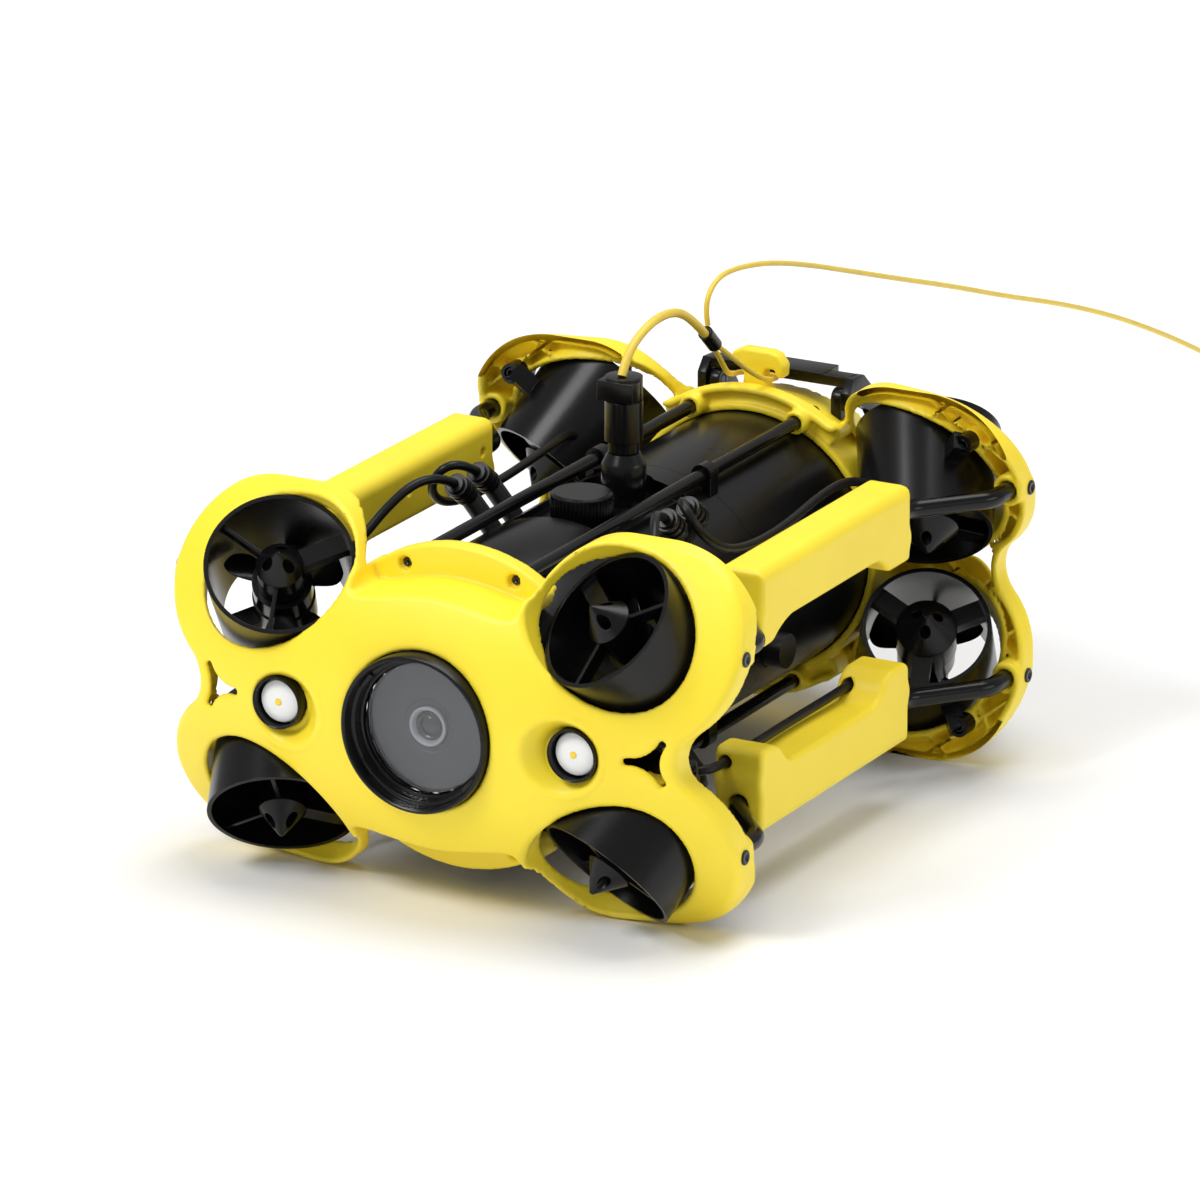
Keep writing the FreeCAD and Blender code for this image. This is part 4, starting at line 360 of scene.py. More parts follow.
def outline_distance(across, height):
    """Distance to the panel's lobed outline, negative inside."""
    lobe = np.hypot(across - lobe_x, height - lobe_z) - lobe_radius
    shoulder = np.hypot(across - shoulder_x, height - shoulder_z) - shoulder_radius
    flat = np.maximum(np.abs(across - (lobe_x + shoulder_x) / 2) - (lobe_x - shoulder_x) / 2,
                      height - shoulder_z - shoulder_radius)
    middle = np.maximum(across - lobe_x, height - 44)
    waist = np.maximum(np.maximum(across - waist_side, height - waist_height),
                       waist_radius - np.hypot(across - waist_x, height))
    wings = np.minimum(np.minimum(lobe, shoulder), np.minimum(np.minimum(flat, middle), waist))
    return round_min(wings, np.hypot(across, height) - belly_radius, 3.5)


def panel_distance(x, y, z, rear):
    """Distance to a panel's surface in millimetres; y runs back from the apex of the skin."""
    across = np.abs(x)
    height = np.abs(z)
    radial = np.hypot(across, height)
    skin = np.hypot(np.hypot(across, plan_reach - y) - plan_radius, height) - bulge_radius
    edge = outline_distance(across, height)

    # skin with its rim wall; the space ahead of the two crescent ledges is cut away
    dome = round_min(radial - dome_radius - dome_spread * y / ledge_depth, height - ledge_height, 7)
    keep = round_min(dome, np.hypot(across - shoulder_x, height - shoulder_z) - shoulder_radius, 4)
    space = np.maximum(round_max(-keep, y - ledge_depth, 0.8), radial - ledge_reach)
    space_behind = np.maximum(np.maximum(-keep - wall, y - ledge_depth - 4), radial - ledge_reach)
    outer = round_max(round_max(edge, skin, 3), -space, 0.9)
    inner = np.maximum(round_max(edge + wall, skin + wall, 1), -space_behind)
    body = round_max(outer, -inner, 0.7)
    behind = np.minimum(np.maximum(ring_radius - radial, skin + 12),
                        np.maximum(radial - ring_radius, ring_depth - y))
    body = round_max(body, -behind, 0.7)

    # crossing ribs on the back of the lobes
    for slope in (1, -1):
        angle = math.radians(rib_angle) * slope
        along = across * math.cos(angle) - height * math.sin(angle)
        rib = np.abs((along + rib_pitch / 2) % rib_pitch - rib_pitch / 2) - rib_half
        rib = np.maximum(np.maximum(rib, -skin - rib_height),
                         np.maximum(edge + 1.5, ring_radius + 0.3 - radial))
        body = round_min(body, np.maximum(rib, skin + 1.5), 0.7)

    # sockets of the side tubes and posts of the duct ears
    socket = np.maximum(np.hypot(across - tube_x, height - tube_z) - tube_seat, y - 47)
    post = np.maximum(np.hypot(across - ear_x, height - ear_z) - ear_post, y - 50.7)
    bosses = np.maximum(np.maximum(np.minimum(socket, post), edge), skin + 1.5)
    body = round_min(body, bosses, 1)

    # openings of the leaning ducts, each with a collar behind
    yaw = math.radians(-90 + duct_yaw)
    tilt = math.radians(duct_tilt)
    axis = (-math.sin(tilt) * math.cos(yaw), math.sin(tilt) * math.sin(yaw), math.cos(tilt))
    gap = (across - duct_x, y - duct_middle, height - duct_z)
    run = gap[0] * axis[0] + gap[1] * axis[1] + gap[2] * axis[2]
    round_duct = np.sqrt(np.maximum(gap[0] ** 2 + gap[1] ** 2 + gap[2] ** 2 - run ** 2, 0))
    body = round_max(body, duct_opening - round_duct, 2)
    collar = np.maximum(np.abs(round_duct - collar_radius) - collar_half,
                        np.maximum(np.maximum(edge + 1, skin + 1.8), -skin - collar_height))
    body = round_min(body, np.maximum(collar, -space - 1), 1.2)

    # three-pointed star slots beside the waist, with hollow sides and round tips
    sides = []
    for turn in (0, 120, 240):
        centre = (star_reach * math.cos(math.radians(turn)), star_reach * math.sin(math.radians(turn)))
        sides.append(star_hollow - np.hypot(across - star_x - centre[0], z - centre[1]))
    hollows = np.maximum(np.maximum(sides[0], sides[1]), sides[2])
    star = round_max(hollows, np.hypot(across - star_x, height) - star_radius, 1)
    body = round_max(body, -np.maximum(star, skin - 5), 2)

    # collars of the tie rods behind the ledges; arch and cleat foot astern, eye and lamps at the bow
    rod = np.hypot(across - rod_x, height - rod_z)
    if rear:
        arch = np.maximum(radial - arch_outer, np.maximum(8 - y, y - 44))
        cups = np.maximum(rod - rod_cup, np.maximum(38 - y, y - 51))
        foot = np.maximum(np.maximum(across - cleat_foot, np.abs(y - 32) - 7), np.maximum(52 - z, z - 62.5))
        body = round_min(round_min(body, arch, 1), cups, 1)
        body = round_min(body, foot, 2)
        body = round_max(body, arch_inner - radial, 0.8)
        body = round_max(body, -np.maximum(rod - rod_sink, 31.7 - y), 0.4)
    else:
        cups = np.maximum(rod - rod_cup, np.maximum(39 - y, y - 46))
        body = round_min(body, cups, 1)
        lamp = np.hypot(across - lamp_x, z)
        flare = np.hypot(across - lamp_x + 2.7, z + 1.2) - flare_radius - 0.85 * np.maximum(11 - y, 0)
        seat = np.minimum(np.maximum(lamp - lamp_seat, y - 18), np.maximum(flare - 2.8, y - 15.6))
        body = round_min(body, np.maximum(seat, skin), 1)
        body = round_max(body, -np.maximum(flare, y - 12), 1.6)
        body = round_max(body, lamp_bore - lamp, 0.4)
        body = round_max(body, camera_opening - radial, 1.4)
        body = round_max(body, -np.maximum(rod - rod_sink, 42 - y), 0.3)

    # counterbores in the ledges, and the holes of the rods, tubes and screws
    sink = np.maximum(rod - rod_sink, np.abs(y - 33) - 7.6)
    body = round_max(body, -sink, 0.6)
    body = np.maximum(body, rod_hole - rod)
    tube = np.maximum(np.hypot(across - tube_x, height - tube_z) - tube_bore, 34.7 - y)
    side_hole = np.maximum(np.hypot(y - 38, height - tube_z) - screw_hole, 127 - across)
    ear_hole = np.maximum(np.hypot(across - ear_x, height - ear_z) - screw_hole, 41 - y)
    return np.maximum(np.maximum(body, -tube), np.maximum(-side_hole, -ear_hole))


def moulded_surface(form, low, high, cell):
    """Closed quad mesh of the surface where a form's distance is zero, drawn onto that surface."""
    counts = [int(math.ceil((top - base) / cell)) + 1 for base, top in zip(low, high)]
    grid = np.meshgrid(*[base + cell * np.arange(count) for base, count in zip(low, counts)], indexing="ij")
    field = form(*grid).astype(np.float32)
    inside = field < 0
    shape = [count - 1 for count in counts]
    total = np.zeros(shape + [3], np.float32)
    hits = np.zeros(shape, np.int32)

    def corner(block, step):
        return block[tuple(slice(step[axis], step[axis] + shape[axis]) for axis in range(3))]

    corners = [(i, j, k) for i in (0, 1) for j in (0, 1) for k in (0, 1)]
    for start in corners:
        for axis in range(3):
            if start[axis]:
                continue
            end = tuple(value + (1 if index == axis else 0) for index, value in enumerate(start))
            near, far = corner(field, start), corner(field, end)
            crossed = corner(inside, start) != corner(inside, end)
            share = np.where(crossed, near / np.where(near == far, 1, near - far), 0)
            for index in range(3):
                total[..., index] += np.where(crossed, start[index] + (share if index == axis else 0), 0)
            hits += crossed
    active = hits > 0
    number = np.full(shape, -1, np.int64)
    number[active] = np.arange(active.sum())
    where = np.argwhere(active)
    points = np.array(low) + cell * (where + total[active] / hits[active][:, None])
    for _ in range(3):
        value = form(*points.T)
        slope = np.stack([form(*(points + 0.02 * np.eye(3)[axis]).T)
                          - form(*(points - 0.02 * np.eye(3)[axis]).T) for axis in range(3)], 1) / 0.04
        step = value[:, None] * slope / np.maximum((slope ** 2).sum(1), 0.2)[:, None]
        points -= np.clip(step, -0.35 * cell, 0.35 * cell)
    quads = []
    for axis in range(3):
        first, second = [index for index in range(3) if index != axis]
        here = [slice(1, shape[index]) for index in range(3)]
        here[axis] = slice(0, shape[axis])
        ahead = list(here)
        ahead[axis] = slice(1, shape[axis] + 1)
        start, end = inside[tuple(here)], inside[tuple(ahead)]
        where = np.argwhere(start != end)
        leaving = start[start != end]
        base = where + np.array([0 if index == axis else 1 for index in range(3)])

        def cell_at(shift_first, shift_second):
            spot = base.copy()
            spot[:, first] -= shift_first
            spot[:, second] -= shift_second
            return number[spot[:, 0], spot[:, 1], spot[:, 2]]

        ring = np.stack([cell_at(1, 1), cell_at(0, 1), cell_at(0, 0), cell_at(1, 0)], 1)
        turned = leaving if axis != 1 else ~leaving
        quads.append(np.where(turned[:, None], ring, ring[:, ::-1]))
    return points, np.concatenate(quads)


panel_cell = 1.2
for node, rear in (("front_panel", False), ("rear_panel", True)):
    points, quads = moulded_surface(lambda x, y, z: panel_distance(x, y, z, rear),
                                    (-135, -2, -85), (135, 54, 85), panel_cell)
    if rear:
        placed = np.stack([-points[:, 0], stern - points[:, 1], points[:, 2] + hull_axis], 1) * MM
    else:
        placed = np.stack([points[:, 0], points[:, 1] + bow, points[:, 2] + hull_axis], 1) * MM
    mesh = bpy.data.meshes.new(node + "_moulding")
    mesh.from_pydata(placed.tolist(), [], quads.tolist())
    mesh.shade_smooth()
    mesh.materials.append(shell_yellow)
    panel = bpy.data.objects.new(node + "_moulding", mesh)
    scene.collection.objects.link(panel)
    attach(panel, "frame")
    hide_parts(node)

# ------------------------------------------------------------------ pressure hull
# Turned aluminium tube in three sections, hard-anodised satin black: the front section with the
# camera neck, the middle section with the ports, and the battery tube behind. A fine grain covers
# it, and thin seams show where the sections meet.

hull_black = moulded("hull_black", (0.004, 0.004, 0.0045), (0.002, 0.002, 0.0025),
                     rough=(0.24, 0.34), grain=2500, drift=9, gleam=0.28)
def lathe(name, profile, steps, place, finish, turn=None):
    """Closed turned form: a profile of radius and height in millimetres, spun about its own axis."""
    mesh = bpy.data.meshes.new(name)
    work = bmesh.new()
    rings = []
    for radius, height in profile:
        if radius == 0:
            rings.append([work.verts.new((0, 0, height))])
        else:
            rings.append([work.verts.new((radius * math.cos(2 * math.pi * step / steps),
                                          radius * math.sin(2 * math.pi * step / steps), height))
                          for step in range(steps)])
    for near, far in zip(rings, rings[1:]):
        for step in range(steps if len(near) + len(far) > 2 else 0):
            after = (step + 1) % steps
            if len(near) == 1:
                work.faces.new((near[0], far[after], far[step]))
            elif len(far) == 1:
                work.faces.new((near[step], near[after], far[0]))
            else:
                work.faces.new((near[step], near[after], far[after], far[step]))
    bmesh.ops.remove_doubles(work, verts=work.verts, dist=0.0001)
    bmesh.ops.recalc_face_normals(work, faces=work.faces)
    for face in work.faces:
        face.smooth = True
    for edge in work.edges:
        edge.smooth = edge.calc_face_angle(0) < math.radians(32)
    move = Matrix.Translation(Vector(place) * MM) @ (turn or Matrix.Identity(4)) @ Matrix.Scale(MM, 4)
    bmesh.ops.transform(work, matrix=move, verts=work.verts)
    work.to_mesh(mesh)
    work.free()
    mesh.materials.append(finish)
    piece = bpy.data.objects.new(name, mesh)
    scene.collection.objects.link(piece)
    return piece


ahead = Matrix.Rotation(math.radians(90), 4, "X")
camera_seat = (0, -170, hull_axis)
hull_steps = 96
hull_radius = 58
hull_profile = (
    (0, -15), (29.5, -15), (29.5, -0.6), (29.8, -0.3), (33.2, -0.3), (33.5, -0.6), (33.5, -24.3), (48, -29.3),
    (52, -32.3), (55, -35), (57, -36.8), (hull_radius, -38.5), (hull_radius, -113.1), (57.6, -113.5),
    (0, -113.5))
hull_front = lathe("hull_front_shell", hull_profile, hull_steps, camera_seat, hull_black, ahead)
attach(hull_front, "frame")
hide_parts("hull_front")
for node in ("hull_bridge", "battery_tube"):
    welded(node, hull_black, "frame")

seam_stations = (-56.2, 26)
seam_steps = 16
groove_black = moulded("groove_black", (0.003, 0.003, 0.003), (0.002, 0.002, 0.002), rough=(0.6, 0.7))
swell = 1 / math.cos(math.pi / seam_steps) ** 0.5
for number, station in enumerate(seam_stations):
    seam = bpy.data.curves.new("hull_seam", "CURVE")
    seam.dimensions = "3D"
    seam.bevel_depth = 0.25 * MM
    ring = seam.splines.new("NURBS")
    ring.points.add(seam_steps - 1)
    for step, point in enumerate(ring.points):
        angle = 2 * math.pi * step / seam_steps
        point.co = (hull_radius * swell * math.cos(angle) * MM, station * MM,
                    (hull_axis + hull_radius * swell * math.sin(angle)) * MM, 1)
    ring.order_u = 4
    ring.use_cyclic_u = True
    seam.resolution_u = 8
    seam.materials.append(groove_black)
    seam_ring = bpy.data.objects.new("hull_seam_%d" % number, seam)
    scene.collection.objects.link(seam_ring)
    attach(seam_ring, "frame")

# ------------------------------------------------------------------ camera
# Black moulded bezel with a stepped mouth and four lugs, set against the front of the hull's
# neck. A flat glass window lies deep in it, and behind that a grey mask plate round the lens.

black_satin = moulded("black_satin", (0.004, 0.004, 0.0045), (0.002, 0.002, 0.0025),
                      rough=(0.2, 0.3), grain=1500, gleam=0.28)
mask_grey = moulded("mask_grey", (0.075, 0.076, 0.08), (0.06, 0.061, 0.065), rough=(0.3, 0.42), grain=1200)
lens_gloss = moulded("lens_gloss", (0.012, 0.013, 0.016), (0.006, 0.007, 0.009),
                     rough=(0.04, 0.08), grain=400, grain_depth=0.000002, coat=0.6)
ring_grey = moulded("ring_grey", (0.55, 0.56, 0.58), (0.45, 0.46, 0.48), rough=(0.2, 0.3))
bezel_profile = (
    (28.3, -0.1), (33.5, -0.1), (33.8, 0.3), (33.8, 10.9), (33.4, 11.6), (32.5, 11.8), (31.9, 11.3),
    (31.5, 10),
    (31.2, 7.2), (30.8, 6.8), (29.9, 6.6), (29.6, 6.2), (29.2, 2.6), (28.3, 2.2), (28.3, -0.1))
barrel_profile = (
    (28.1, -0.4), (29.2, -0.5), (29.2, -14), (0, -14), (0, -13.6), (27.2, -13.6), (27.6, -13.2), (27.9, -1),
    (28.1, -0.4))
mask_profile = (
    (0, -13.4), (26.8, -13.4), (27.4, -3.6), (27, -3.1), (14, -3.1), (11.6, -3.3), (11.2, -3.6), (8.8, -3.6),
    (8.6, -4.2), (0, -4.2))
ring_profile = (
    (6.3, -4.1), (8.5, -4.1), (8.6, -2.4), (8.3, -1.9), (7.6, -1.8), (7.1, -2.2), (6.4, -3.4), (6.3, -4.1))
lens_profile = (
    (6, -4.4), (6, -3.5), (5.6, -3.2), (5, -3.4), (4.6, -3.8), (4.2, -3.7), (3.8, -3.4), (2.8, -2.8),
    (1.5, -2.4),
    (0, -2.3))
bezel = lathe("camera_bezel_ring", bezel_profile, 96, camera_seat, black_satin, ahead)
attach(bezel, "frame")
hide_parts("camera_bezel")
barrel = lathe("camera_barrel", barrel_profile, 72, camera_seat, black_satin, ahead)
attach(barrel, "frame")
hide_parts("camera_housing")
mask = lathe("camera_mask", mask_profile, 72, camera_seat, mask_grey, ahead)
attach(mask, "frame")
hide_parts("camera_lens")
lens_ring = lathe("lens_ring", ring_profile, 72, camera_seat, ring_grey, ahead)
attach(lens_ring, "frame")
lens_eye = lathe("lens_eye", lens_profile, 48, camera_seat, lens_gloss, ahead)
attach(lens_eye, "frame")

lug_size = (2.6, 8.5, 6.4)
lug_place = (30.4, 0, 4.6)
lug_round = 0.7
lug_mesh = bpy.data.meshes.new("bezel_lugs")
lug_work = bmesh.new()
for angle in (38, 142, 218, 322):
    spot = (Matrix.Translation(Vector(camera_seat)) @ ahead @ Matrix.Rotation(math.radians(angle), 4, "Z")
            @ Matrix.Translation(lug_place) @ Matrix.Diagonal((*lug_size, 1)))
    lug_corners = bmesh.ops.create_cube(lug_work, size=1, matrix=spot)["verts"]
    lug_edges = {edge for corner in lug_corners for edge in corner.link_edges}
    bmesh.ops.bevel(lug_work, geom=list(lug_edges), offset=lug_round, segments=3, affect="EDGES", profile=0.5)
for face in lug_work.faces:
    face.smooth = True
for edge in lug_work.edges:
    edge.smooth = edge.calc_face_angle(0) < math.radians(40)
bmesh.ops.scale(lug_work, vec=(MM, MM, MM), verts=lug_work.verts)
lug_work.to_mesh(lug_mesh)
lug_work.free()
lug_mesh.materials.append(black_satin)
lugs = bpy.data.objects.new("bezel_lugs", lug_mesh)
scene.collection.objects.link(lugs)
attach(lugs, "frame")

window_glass = bpy.data.materials.new("window_glass")
window_glass.use_nodes = True
pane = window_glass.node_tree.nodes["Principled BSDF"]
pane.inputs["Transmission Weight"].default_value = 1.0
pane.inputs["IOR"].default_value = 1.46
pane_tree = window_glass.node_tree
pane_place = pane_tree.nodes.new("ShaderNodeTexCoord")
pane_film = pane_tree.nodes.new("ShaderNodeTexNoise")
pane_film.inputs["Scale"].default_value = 30
pane_tree.links.new(pane_place.outputs["Object"], pane_film.inputs["Vector"])
pane_gloss = pane_tree.nodes.new("ShaderNodeMapRange")
pane_gloss.inputs["To Min"].default_value = 0.01
pane_gloss.inputs["To Max"].default_value = 0.05
pane_tree.links.new(pane_film.outputs["Fac"], pane_gloss.inputs["Value"])
pane_tree.links.new(pane_gloss.outputs["Result"], pane.inputs["Roughness"])
pane_tint = pane_tree.nodes.new("ShaderNodeMix")
pane_tint.data_type = "RGBA"
pane_tint.inputs[6].default_value = (0.80, 0.82, 0.85, 1)
pane_tint.inputs[7].default_value = (0.90, 0.91, 0.93, 1)
pane_tree.links.new(pane_film.outputs["Fac"], pane_tint.inputs[0])
pane_tree.links.new(pane_tint.outputs[2], pane.inputs["Base Color"])
window_profile = ((0, -0.9), (27, -0.9), (27.8, -0.2), (27.8, 0.9), (27.2, 1.4), (0, 1.4))
window = lathe("camera_window_pane", window_profile, 96, camera_seat, window_glass, ahead)
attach(window, "frame")
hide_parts("camera_window")

# ------------------------------------------------------------------ lamps
# Two work lamps: a black cup in the flare of the panel, a white diffusing dome, and the yellow
# chip of the LED showing through its middle.

lamp_white = moulded("lamp_white", (0.88, 0.88, 0.87), (0.82, 0.82, 0.80),
                     rough=(0.16, 0.24), drift=60, coat=0.4)
chip_yellow = moulded("chip_yellow", (0.95, 0.72, 0.06), (0.9, 0.62, 0.04), rough=(0.3, 0.4))
lamp_back = -160
cup_profile = (
    (0, -8.4), (11, -8.4), (11.3, -8), (11.3, 12.7), (11.1, 13.3), (10.7, 13.5), (10.35, 13.2),
    (10.1, 12), (10, 7),
    (0, 7))
dome_profile = (
    (0, 7.1), (9.4, 7.1), (9.6, 7.6), (9.5, 8.8), (8.9, 9.7), (7.4, 10.3), (5.2, 10.8), (2.6, 11.1),
    (0, 11.2))
chip_profile = ((0, 10.9), (1.6, 10.9), (1.6, 11.2), (1.3, 11.35), (0, 11.35))
for name, finish, slot, node, steps, profile in (
        ("lamp_cup", black_satin, "black_plastic", "lamp_housings", 64, cup_profile),
        ("lamp_dome", lamp_white, "lamp_white", "lamp_lenses", 64, dome_profile),
        ("lamp_chip", chip_yellow, "lamp_white", None, 24, chip_profile)):
    for side, hand in ((1, "right"), (-1, "left")):
        place = (lamp_x * side, lamp_back, hull_axis)
        form = lathe("%s_%s" % (name, hand), profile, steps, place, finish, ahead)
        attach(form, "frame")
        if node:
            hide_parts(node)

# ------------------------------------------------------------------ thrusters
# Eight ducted thrusters. Each duct is one black moulding with the motor pod, its stator arms and
# the guard struts; the three-bladed propeller turns on the motor shaft inside it.

thrusters = ["%s_%s_%s" % (end, rise, side) for end in ("front", "rear") for rise in ("upper", "lower")
             for side in ("right", "left")]
blade_black = moulded("blade_black", (0.005, 0.005, 0.0055), (0.003, 0.003, 0.0035),
                      rough=(0.16, 0.24), grain=1400, gleam=0.28)
for thruster in thrusters:
    welded("thruster_duct_" + thruster, black_satin, "frame", crease=28)
    welded("propeller_" + thruster, blade_black, "propeller_%s_body" % thruster, crease=28)

# ------------------------------------------------------------------ side tubes and tie rods
# Bent 8 mm tubes that tie the panels together, and four straight 6 mm rods screwed to the ledges;
# all are black anodised, with a polished look on the bends.

rod_black = moulded("rod_black", (0.004, 0.004, 0.0045), (0.002, 0.002, 0.0025),
                    rough=(0.14, 0.22), grain=2500, gleam=0.28)
for rise in ("upper", "lower"):
    for side in ("right", "left"):
        welded("side_tube_%s_%s" % (rise, side), rod_black, "frame")
welded("tie_rods", rod_black, "frame")
welded("rod_clips", black_satin, "frame")

# ------------------------------------------------------------------ floats
# Four floats of closed-cell foam in a yellow moulded skin. Each is threaded on its side tube; the
# lower ones have a horn at each end, and the rear motor cable passes through both horns.

foam_yellow = moulded("foam_yellow", (1.0, 0.79, 0.035), (0.95, 0.72, 0.03), rough=(0.4, 0.52), edge=0.0004,
                      grain=700, grain_depth=0.00005)


# measures of a right float, in millimetres
float_middle, float_half = 100.75, 11.25
float_front, float_back = -87, 48
upper_foot, upper_belly, upper_top = 109.5, 117, 143
lower_base, lower_waist, lower_horn = 28, 53.5, 64.5
float_bore_x, float_bore = 100.7, 4.5
lead_hole_x, lead_hole_z, lead_hole = 94.5, 57.9, 2.9
float_screw_stations, float_screw_z, float_screw_hole = (-26, 38), 130, 2


def float_distance(x, y, z, upper):
    """Distance to the surface of a right float, in row millimetres."""
    slab = np.abs(x - float_middle) - float_half
    ends = np.maximum(float_front - y, y - float_back)
    if upper:
        profile = round_max(ends, np.maximum(upper_belly - z, z - upper_top), 3)
        front = np.maximum(0.6 * (y - float_front - 10) - 0.8 * (z - upper_foot), z - upper_belly - 5)
        rear = np.maximum(-0.781 * (y - float_back + 20) - 0.625 * (z - upper_foot), z - upper_belly - 5)
        foot = round_max(round_max(np.minimum(front, rear), upper_foot - z, 2.5), ends, 2.5)
        crown = round_max(slab, z - upper_top, 6)
    else:
        profile = round_max(ends, np.maximum(lower_base - z, z - lower_waist), 3)
        front = np.maximum(0.809 * (y - float_front - 16) + 0.588 * (z - lower_horn), 48 - z)
        rear = np.maximum(-0.809 * (y - float_back + 20) + 0.588 * (z - lower_horn), 48 - z)
        foot = round_max(round_max(np.minimum(front, rear), z - lower_horn, 5), ends, 4)
        crown = round_max(slab, lower_base - z, 5)
    form = np.maximum(round_max(round_min(profile, foot, 5), slab, 2.4), crown)
    bore_z = hull_axis + (tube_z if upper else -tube_z)
    form = round_max(form, float_bore - np.hypot(x - float_bore_x, z - bore_z), 0.8)
    if not upper:
        return round_max(form, lead_hole - np.hypot(x - lead_hole_x, z - lead_hole_z), 0.6)
    for station in float_screw_stations:
        screw = np.maximum(np.hypot(y - station, z - float_screw_z) - float_screw_hole, x - 94)
        form = round_max(form, -screw, 0.5)
    return form


float_cell = 0.9
for rise, low_z, high_z in (("upper", 108, 144.5), ("lower", 26.5, 66)):
    points, quads = moulded_surface(lambda x, y, z: float_distance(x, y, z, rise == "upper"),
                                    (88, -88.5, low_z), (113.5, 49.5, high_z), float_cell)
    for side, name in ((1, "right"), (-1, "left")):
        mesh = bpy.data.meshes.new("float_%s_%s_foam" % (rise, name))
        mesh.from_pydata((points * np.array([side, 1, 1]) * MM).tolist(), [], quads[:, ::side].tolist())
        mesh.shade_smooth()
        mesh.materials.append(foam_yellow)
        foam = bpy.data.objects.new("float_%s_%s_foam" % (rise, name), mesh)
        scene.collection.objects.link(foam)
        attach(foam, "frame")
        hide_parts("float_%s_%s" % (rise, name))

# ------------------------------------------------------------------ motor cables
# Black rubber cables from the ribbed elbows on the hull to the ducts. The front ones are short;
# the upper rear ones run along the hull, and the lower rear ones pass through the lower floats.

rubber_black = moulded("rubber_black", (0.006, 0.006, 0.0065), (0.004, 0.004, 0.0045),
                       rough=(0.28, 0.4), grain=1600, gleam=0.28)
welded("cable_glands", rubber_black, "frame")
welded("cable_elbows", rubber_black, "frame")
FRONT_CABLE = ((50, -65.2, 65.9), (51.5, -75, 71), (57, -87, 71), (63, -99, 63), (68, -109, 53),
               (73.6, -119.8, 43.1))
THROUGH_CABLE = ((50, -46.2, 65.9), (52, -55, 71.5), (58, -65, 70), (65, -76, 60), (71, -88, 47),
                 (76, -99, 35),
                 (81.5, -108.5, 27.5), (89, -110.5, 25), (94.5, -104, 24.6), (94.8, -86, 24.6),
                 (93.6, -58, 25.4),
                 (93.2, -28, 25.6), (94.6, 0, 24.9), (94.5, 28, 24.6), (94.3, 46, 25.4), (88, 58, 30),
                 (80, 71, 37.5), (73.6, 81.8, 43.1))
REAR_CABLE = ((50, -46.2, 65.9), (52, -55, 71.5), (58, -62, 70.5), (64, -61, 61), (67, -50, 51.5),
              (68, -34, 46),
              (68.5, -10, 44), (68, 16, 45), (67, 40, 47.5), (68, 60, 49), (70.5, 72, 47), (73.6, 81.8, 43.1))
lead_radius = 2
frame_shift = 8
motor_leads = bpy.data.curves.new("motor_leads", "CURVE")
motor_leads.dimensions = "3D"
motor_leads.bevel_depth = lead_radius * MM
motor_leads.bevel_resolution = 4
motor_leads.resolution_u = 8
for side in (1, -1):
    for rise in (1, -1):
        for route in (FRONT_CABLE, REAR_CABLE if rise > 0 else THROUGH_CABLE):
            lead = motor_leads.splines.new("NURBS")
            lead.points.add(len(route) - 1)
            for knot, point in zip(lead.points, route):
                knot.co = (side * point[0] * MM, (point[1] + frame_shift) * MM,
                           (hull_axis + rise * point[2]) * MM, 1)
            lead.order_u = 3
            lead.use_endpoint_u = True
motor_leads.materials.append(rubber_black)
leads = bpy.data.objects.new("motor_leads", motor_leads)
scene.collection.objects.link(leads)
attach(leads, "frame")
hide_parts("thruster_cables")

# ------------------------------------------------------------------ top fittings
# Moulded charging-port cap with a ribbed grip, and the tether's connector in black anodised
# aluminium: socket, nut, plug and clamp. Astern, the anodised battery, its moulded latch between
# two lugs, and the yellow moulded cleat that stands on the rear panel's foot.


def rounded(piece, width, least=28):
    """Round a piece's edges, in millimetres, where its faces meet at a clear angle."""
    work = bmesh.new()
    work.from_mesh(piece.data)
    bmesh.ops.dissolve_limit(work, angle_limit=math.radians(1), verts=work.verts, edges=work.edges)
    sharp = [edge for edge in work.edges if len(edge.link_faces) == 2
             and edge.calc_face_angle(0) > math.radians(least)]
    bmesh.ops.bevel(work, geom=sharp, offset=width * MM, segments=3, profile=0.5, affect="EDGES",
                    clamp_overlap=True)
    bmesh.ops.triangulate(work, faces=[face for face in work.faces if len(face.verts) > 4])
    for face in work.faces:
        face.smooth = True
    for edge in work.edges:
        edge.smooth = edge.calc_face_angle(0) < math.radians(40)
    work.to_mesh(piece.data)
    work.free()


for node, finish, slot, body, width in (
        ("port_cap", black_satin, "black_plastic", "charging_cap", 0),
        ("tether_socket", metal_black, "black_metal", "frame", 0),
        ("coupling_nut", metal_black, "black_metal", "tether_nut", 0),
        ("tether_plug", metal_black, "black_metal", "frame", 0),
        ("cord_clamp", metal_black, "black_metal", "frame", 0.9),
        ("battery_pack", hull_black, "black_anodised", "battery", 1),
        ("latch_lugs", black_satin, "black_plastic", "frame", 0.7),
        ("battery_latch", black_satin, "black_plastic", "latch", 1),
        ("tether_cleat", shell_yellow, "yellow_shell", "frame", 1.3)):
    fitting = welded(node, finish, body)
    if width:
        rounded(fitting, width)


